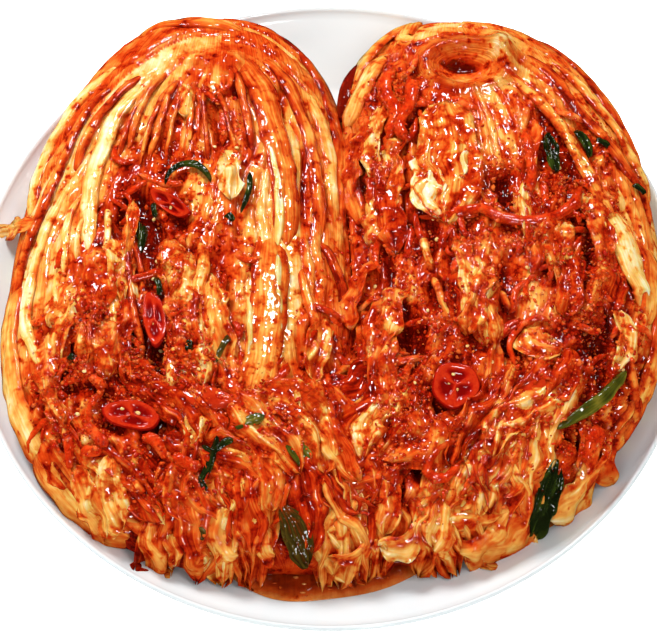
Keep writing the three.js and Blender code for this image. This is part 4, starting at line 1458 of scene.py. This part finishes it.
class KIMCHI_OT_chillies(bpy.types.Operator):
    """Sets the chilli slices and their seeds"""

    bl_idname = "kimchi.chillies"
    bl_label = "Chilli slices"

    def execute(self, context):
        finish = chilli_material()
        # Chilli seeds are smooth, hard and straw yellow, with a soft gleam.
        seed_finish = plain_material(
            "Chilli seed", "#F3D48A", "#E0A850", 1.5, Roughness=0.3, Subsurface_Weight=0.2,
            Coat_Weight=0.4, Subsurface_Scale=0.5 * MM,
        )
        template = grain_mesh(2)
        ball = corners_of(template)
        random = np.random.default_rng(77)
        seeds = []
        for name, side, mid_x, mid_y, long, wide, heading, tilt, seed_count in CHILLIES:
            form = bmesh.new()
            bmesh.ops.create_uvsphere(form, u_segments=44, v_segments=40, radius=1)
            mesh = mesh_from(form, name)
            x, y, z = corners_of(mesh).T
            out = np.clip(np.hypot(x, y), 0, 1)
            angle = np.arctan2(y, x)
            # Three seed chambers lie between pale webs.
            chamber = ramp(0.25, 0.75, np.abs(np.sin(1.5 * angle + 0.4)))
            chamber = chamber * np.exp(-(((out - 0.4) / 0.28) ** 4))
            depth = 0.12 * ramp(1.0, 0.5, out) + 0.26 * chamber
            top = (0.5 - depth) * CHILLI_THICK
            upper = np.minimum(top, 0.5 * CHILLI_THICK * np.sqrt(np.maximum(0, z)) * 1.6)
            level = np.where(z > 0, upper, -0.5 * CHILLI_THICK * np.sqrt(-np.minimum(z, 0)))
            wave = 1 + 0.04 * np.sin(3 * angle + mid_x) + 0.03 * np.sin(5 * angle)
            local = np.stack((x * long / 2 * wave, y * wide / 2 * wave, level), axis=-1)
            axes, seat = self.seat(HEADS[side], mid_x, mid_y, heading, tilt)
            move_corners(mesh, local @ axes.T + seat)
            # The skin at the margin is a darker red, and the seed chambers are painted dark as painted shade
            # in their hollows.
            give(mesh, "tone", np.where(out > 0.94, 0.25, 0.6 - 0.7 * chamber))
            add_piece(name, mesh, finish, (name,))
            for _ in range(seed_count):
                spin = random.uniform(0, math.tau)
                far = random.uniform(0.1, 0.6)
                flat = ball * np.array((1.3, 1.0, 0.45)) * random.uniform(0.7, 0.95)
                rolled = turned(flat, random.uniform(0, math.tau))
                at = np.array((far * long / 2 * math.cos(spin), far * wide / 2 * math.sin(spin), 0.35))
                seeds.append((rolled + at) @ axes.T + seat)
        # Loose seeds lie on the paste of each half.
        for head in (LEFT, RIGHT):
            y = random.uniform(-95, 90, 160)
            s = random.uniform(-0.85, 0.85, 160)
            points, out, _, _ = head.skin(s, y)
            kept = random.uniform(size=160) < paste_cover(points) ** 2
            for point, up in list(zip(points[kept], out[kept]))[:LOOSE_SEEDS]:
                roll = random.uniform(0, math.tau)
                flat = ball * np.array((1.3, 1.0, 0.5)) * random.uniform(0.6, 0.9)
                seeds.append(turned(flat, roll) + point + up * 1.4)
        add_piece("chilli_seeds", joined(template, "chilli_seeds", seeds), seed_finish)
        return {"FINISHED"}

    def seat(self, head, x, y, heading, tilt):
        """How a slice lies on the half, as its axes and its middle."""
        lean = np.array(
            (
                (1, 0, 0),
                (0, math.cos(tilt), -math.sin(tilt)),
                (0, math.sin(tilt), math.cos(tilt)),
            )
        )
        turn = np.array(
            (
                (math.cos(heading), -math.sin(heading), 0),
                (math.sin(heading), math.cos(heading), 0),
                (0, 0, 1),
            )
        )
        ground, up = head.drape(np.array([float(x)]), np.array([float(y)]))
        stand = np.array(Vector((0, 0, 1)).rotation_difference(Vector(up[0])).to_matrix())
        return stand @ turn @ lean, ground[0] + (0, 0, CHILLI_LIFT)


class KIMCHI_OT_greens(bpy.types.Operator):
    """Lays the spring onion and the dark leaves"""

    bl_idname = "kimchi.greens"
    bl_label = "Greens"

    def execute(self, context):
        # Wilted greens: spring onion nearly black and creased, an outer leaf olive and thin, and a stalk that
        # has stayed lighter, with long ribs.
        finishes = {
            "dark": leaf_material("Wilted spring onion", DARK_STAINS, 0.24, 0.05, 0.9, swell=0.8),
            "olive": leaf_material("Wilted outer leaf", OLIVE_STAINS, 0.24, 0.1, 0.9, swell=0.6),
            "light": leaf_material("Spring onion stalk", GREEN_STAINS, 0.24, 0.2, 1.0, swell=0.5),
        }
        for name, side, mid_x, mid_y, long, width, heading, turn, finish in GREENS:
            head = HEADS[side]
            strip = Strips(10, 30, len(name) + int(abs(mid_x)))
            shares = np.linspace(-0.5, 0.5, 13)
            ahead = long / turn * np.sin(turn * shares) if turn else long * shares
            aside = long / turn * (1 - np.cos(turn * shares)) if turn else 0 * shares
            path = np.stack(
                (
                    mid_x + math.cos(heading) * ahead - math.sin(heading) * aside,
                    mid_y + math.sin(heading) * ahead + math.cos(heading) * aside,
                ),
                axis=-1,
            )
            if width > BROAD_LEAF:
                strip.lay(
                    head, path, width - 1, 0.7, 0.5, 0.1, lift=4.0, sink=1.8, pleats=width / 3.5,
                    pleat=1.3, ruffle=0.8, crumple=1.2, wobble=0.1, crinkle=0.45, taper=(0.3, 0.3),
                )
            else:
                strip.lay(
                    head, path, width, 1.1 if finish == "dark" else 2.0, 0.5, -0.2,
                    lift=3.2 if finish == "dark" else 4.2, sink=1.8, pleats=width / 4, pleat=0.3,
                    ruffle=0.2, crumple=0.6, wobble=0.15, crinkle=0.1, taper=(0.3, 0.3),
                )
            strip.add(name, finishes[finish], "greens", (name,))
        for kind, finish in finishes.items():
            bits = Strips(8, 20, 5)
            for side, own_kind, width, *points in GREEN_BITS:
                if own_kind == kind:
                    head = HEADS[side]
                    bits.lay(
                        head, head.path(points), width, 0.8, 0.5, -0.1, lift=3.4, sink=1.0, pleats=1.2,
                        pleat=0.5, ruffle=0.3, crumple=0.8, wobble=0.25,
                    )
            bits.add("green_bits_" + kind, finish, "greens")
        return {"FINISHED"}


class KIMCHI_OT_juice(bpy.types.Operator):
    """Pours the juice that shows past the leaf tips"""

    bl_idname = "kimchi.juice"
    bl_label = "Juice"

    def execute(self, context):
        settings = context.scene.kimchi_juice
        form = bmesh.new()
        bmesh.ops.create_grid(form, x_segments=150, y_segments=24, size=1)
        bmesh.ops.solidify(form, geom=form.faces[:], thickness=0.5)
        mesh = mesh_from(form, "juice")
        x, y, z = corners_of(mesh).T
        first, last = POOL_ARC
        angle = first + (last - first) * (x + 1) / 2
        share = 0.84 + 0.16 * np.sin((1 - (y + 1) / 2) * math.pi / 2)
        radius = share * pool_radius(angle)
        bed = plate_top(radius) + 0.35
        edge = np.sqrt(np.clip((1 - share) / 0.045, 0, 1) * np.clip((1 - np.abs(x)) / 0.02, 0, 1))
        ripple = 0.5 * noise(np.stack((radius * np.cos(angle), radius * np.sin(angle)), axis=-1), 5.5, 3)
        level = bed + (np.maximum(JUICE_LEVEL, bed + 1.1) + ripple - bed) * edge
        height = np.where(z > -0.25, np.maximum(level, bed + 0.05), bed)
        points = np.stack((radius * np.cos(angle), radius * np.sin(angle), height), axis=-1)
        move_corners(mesh, points)
        form = bmesh.new()
        form.from_mesh(mesh)
        bmesh.ops.recalc_face_normals(form, faces=form.faces)
        form.to_mesh(mesh)
        form.free()
        # Brine with chilli oil: thin and clear, so its edge is orange and its middle red.
        finish = leaf_material("Kimchi juice", JUICE_STAINS, 0.1, 0.3, 0.2, 0.3)
        inside = ramp(1.0, 0.95, share)
        give(mesh, "tone", 0.28 + 0.55 * inside)
        give(mesh, "sauce", 0 * share - 0.2)
        give(mesh, "strand", points)
        add_piece("juice_pool", mesh, finish, ("juice",))
        random = np.random.default_rng(41)
        template = grain_mesh(1)
        ball = corners_of(template)
        grains = []
        for _ in range(settings.bits):
            angle = random.uniform(first + 0.1, last - 0.1)
            radius = pool_radius(angle) * random.uniform(0.9, 0.985)
            flat = ball * random.uniform((0.4, 0.3, 0.15), (1.6, 0.9, 0.4))
            level = max(JUICE_LEVEL, plate_top(radius) + 1.2) + 0.2
            grains.append(flat + (radius * math.cos(angle), radius * math.sin(angle), level))
        # Chilli, garlic and shreds of leaf that have washed out of the halves.
        afloat = paste_material("Bits afloat in the juice", JUICE_BITS)
        bits = joined(template, "juice_bits", grains)
        give(bits, "tone", np.repeat(random.uniform(0.1, 0.9, len(grains)), len(ball)))
        add_piece("juice_bits", bits, afloat)
        return {"FINISHED"}


class KIMCHI_OT_stage(bpy.types.Operator):
    """Sets the floor, the lights and the camera"""

    bl_idname = "kimchi.stage"
    bl_label = "Stage"

    def execute(self, context):
        scene = context.scene
        form = bmesh.new()
        bmesh.ops.create_grid(form, x_segments=1, y_segments=1, size=3)
        mesh = mesh_from(form, "floor")
        floor = bpy.data.objects.new("floor", mesh)
        scene.collection.objects.link(floor)
        # Matt white paper, which shows soft shadows and no gleam.
        material = plain_material(
            "White paper", "#FFFFFF", "#FDFDFD", 200, Roughness=0.9, Emission_Color=(1, 1, 1, 1),
            Emission_Strength=0.8,
        )
        mesh.materials.append(material)
        floor.visible_glossy = False
        for name, place, size, power, glints in LAMPS:
            lamp = bpy.data.lights.new(name, "AREA")
            lamp.size = size
            lamp.energy = power
            light = bpy.data.objects.new(name, lamp)
            light.visible_glossy = glints
            light.visible_diffuse = not glints
            light.location = place
            light.rotation_euler = (-Vector(place)).to_track_quat("-Z", "Y").to_euler()
            scene.collection.objects.link(light)
        world = bpy.data.worlds.new("Studio")
        world.use_nodes = True
        tree = world.node_tree
        back = tree.nodes["Background"]
        path = tree.nodes.new("ShaderNodeLightPath")
        dim = tree.nodes.new("ShaderNodeMapRange")
        dim.inputs[3].default_value = ROOM_LIGHT
        dim.inputs[4].default_value = ROOM_MIRRORED
        tree.links.new(path.outputs["Is Glossy Ray"], dim.inputs[0])
        tree.links.new(dim.outputs[0], back.inputs[1])
        back.inputs[0].default_value = (1, 1, 1, 1)
        scene.world = world
        scene.view_settings.view_transform = "Standard"
        lens = bpy.data.cameras.new("camera")
        lens.lens = VIEW_LENS
        lens.sensor_width = SENSOR
        lens.clip_end = 20
        camera = bpy.data.objects.new("camera", lens)
        camera.location = Vector(EYE * MM)
        camera.rotation_euler = Vector(FORWARD).to_track_quat("-Z", "Y").to_euler()
        scene.collection.objects.link(camera)
        scene.camera = camera
        return {"FINISHED"}


OPERATORS = (
    KIMCHI_OT_plate,
    KIMCHI_OT_heads,
    KIMCHI_OT_leaves,
    KIMCHI_OT_shreds,
    KIMCHI_OT_paste,
    KIMCHI_OT_chillies,
    KIMCHI_OT_greens,
    KIMCHI_OT_juice,
    KIMCHI_OT_stage,
)


class KIMCHI_PT_panel(bpy.types.Panel):
    """Lists the steps that dress the kimchi"""

    bl_idname = "KIMCHI_PT_panel"
    bl_label = "Kimchi"
    bl_space_type = "VIEW_3D"
    bl_region_type = "UI"
    bl_category = "Kimchi"

    def draw(self, context):
        for group in SETTINGS:
            settings = getattr(context.scene, group)
            for name in settings.__annotations__:
                self.layout.prop(settings, name)
        for operator in OPERATORS:
            self.layout.operator(operator.bl_idname)


SETTINGS = {
    "kimchi_plate": KimchiPlateSettings,
    "kimchi_leaf": KimchiLeafSettings,
    "kimchi_paste": KimchiPasteSettings,
    "kimchi_juice": KimchiJuiceSettings,
}


def register():
    for name, group in SETTINGS.items():
        bpy.utils.register_class(group)
        setattr(bpy.types.Scene, name, PointerProperty(type=group))
    for operator in OPERATORS:
        bpy.utils.register_class(operator)
    bpy.utils.register_class(KIMCHI_PT_panel)


def unregister():
    bpy.utils.unregister_class(KIMCHI_PT_panel)
    for operator in reversed(OPERATORS):
        bpy.utils.unregister_class(operator)
    for name, group in SETTINGS.items():
        delattr(bpy.types.Scene, name)
        bpy.utils.unregister_class(group)


def main():
    """Makes every piece in order."""
    register()
    bpy.ops.kimchi.plate()
    bpy.ops.kimchi.heads()
    bpy.ops.kimchi.leaves()
    bpy.ops.kimchi.shreds()
    bpy.ops.kimchi.paste()
    bpy.ops.kimchi.chillies()
    bpy.ops.kimchi.greens()
    bpy.ops.kimchi.juice()
    bpy.ops.kimchi.stage()


if __name__ == "__main__":
    main()
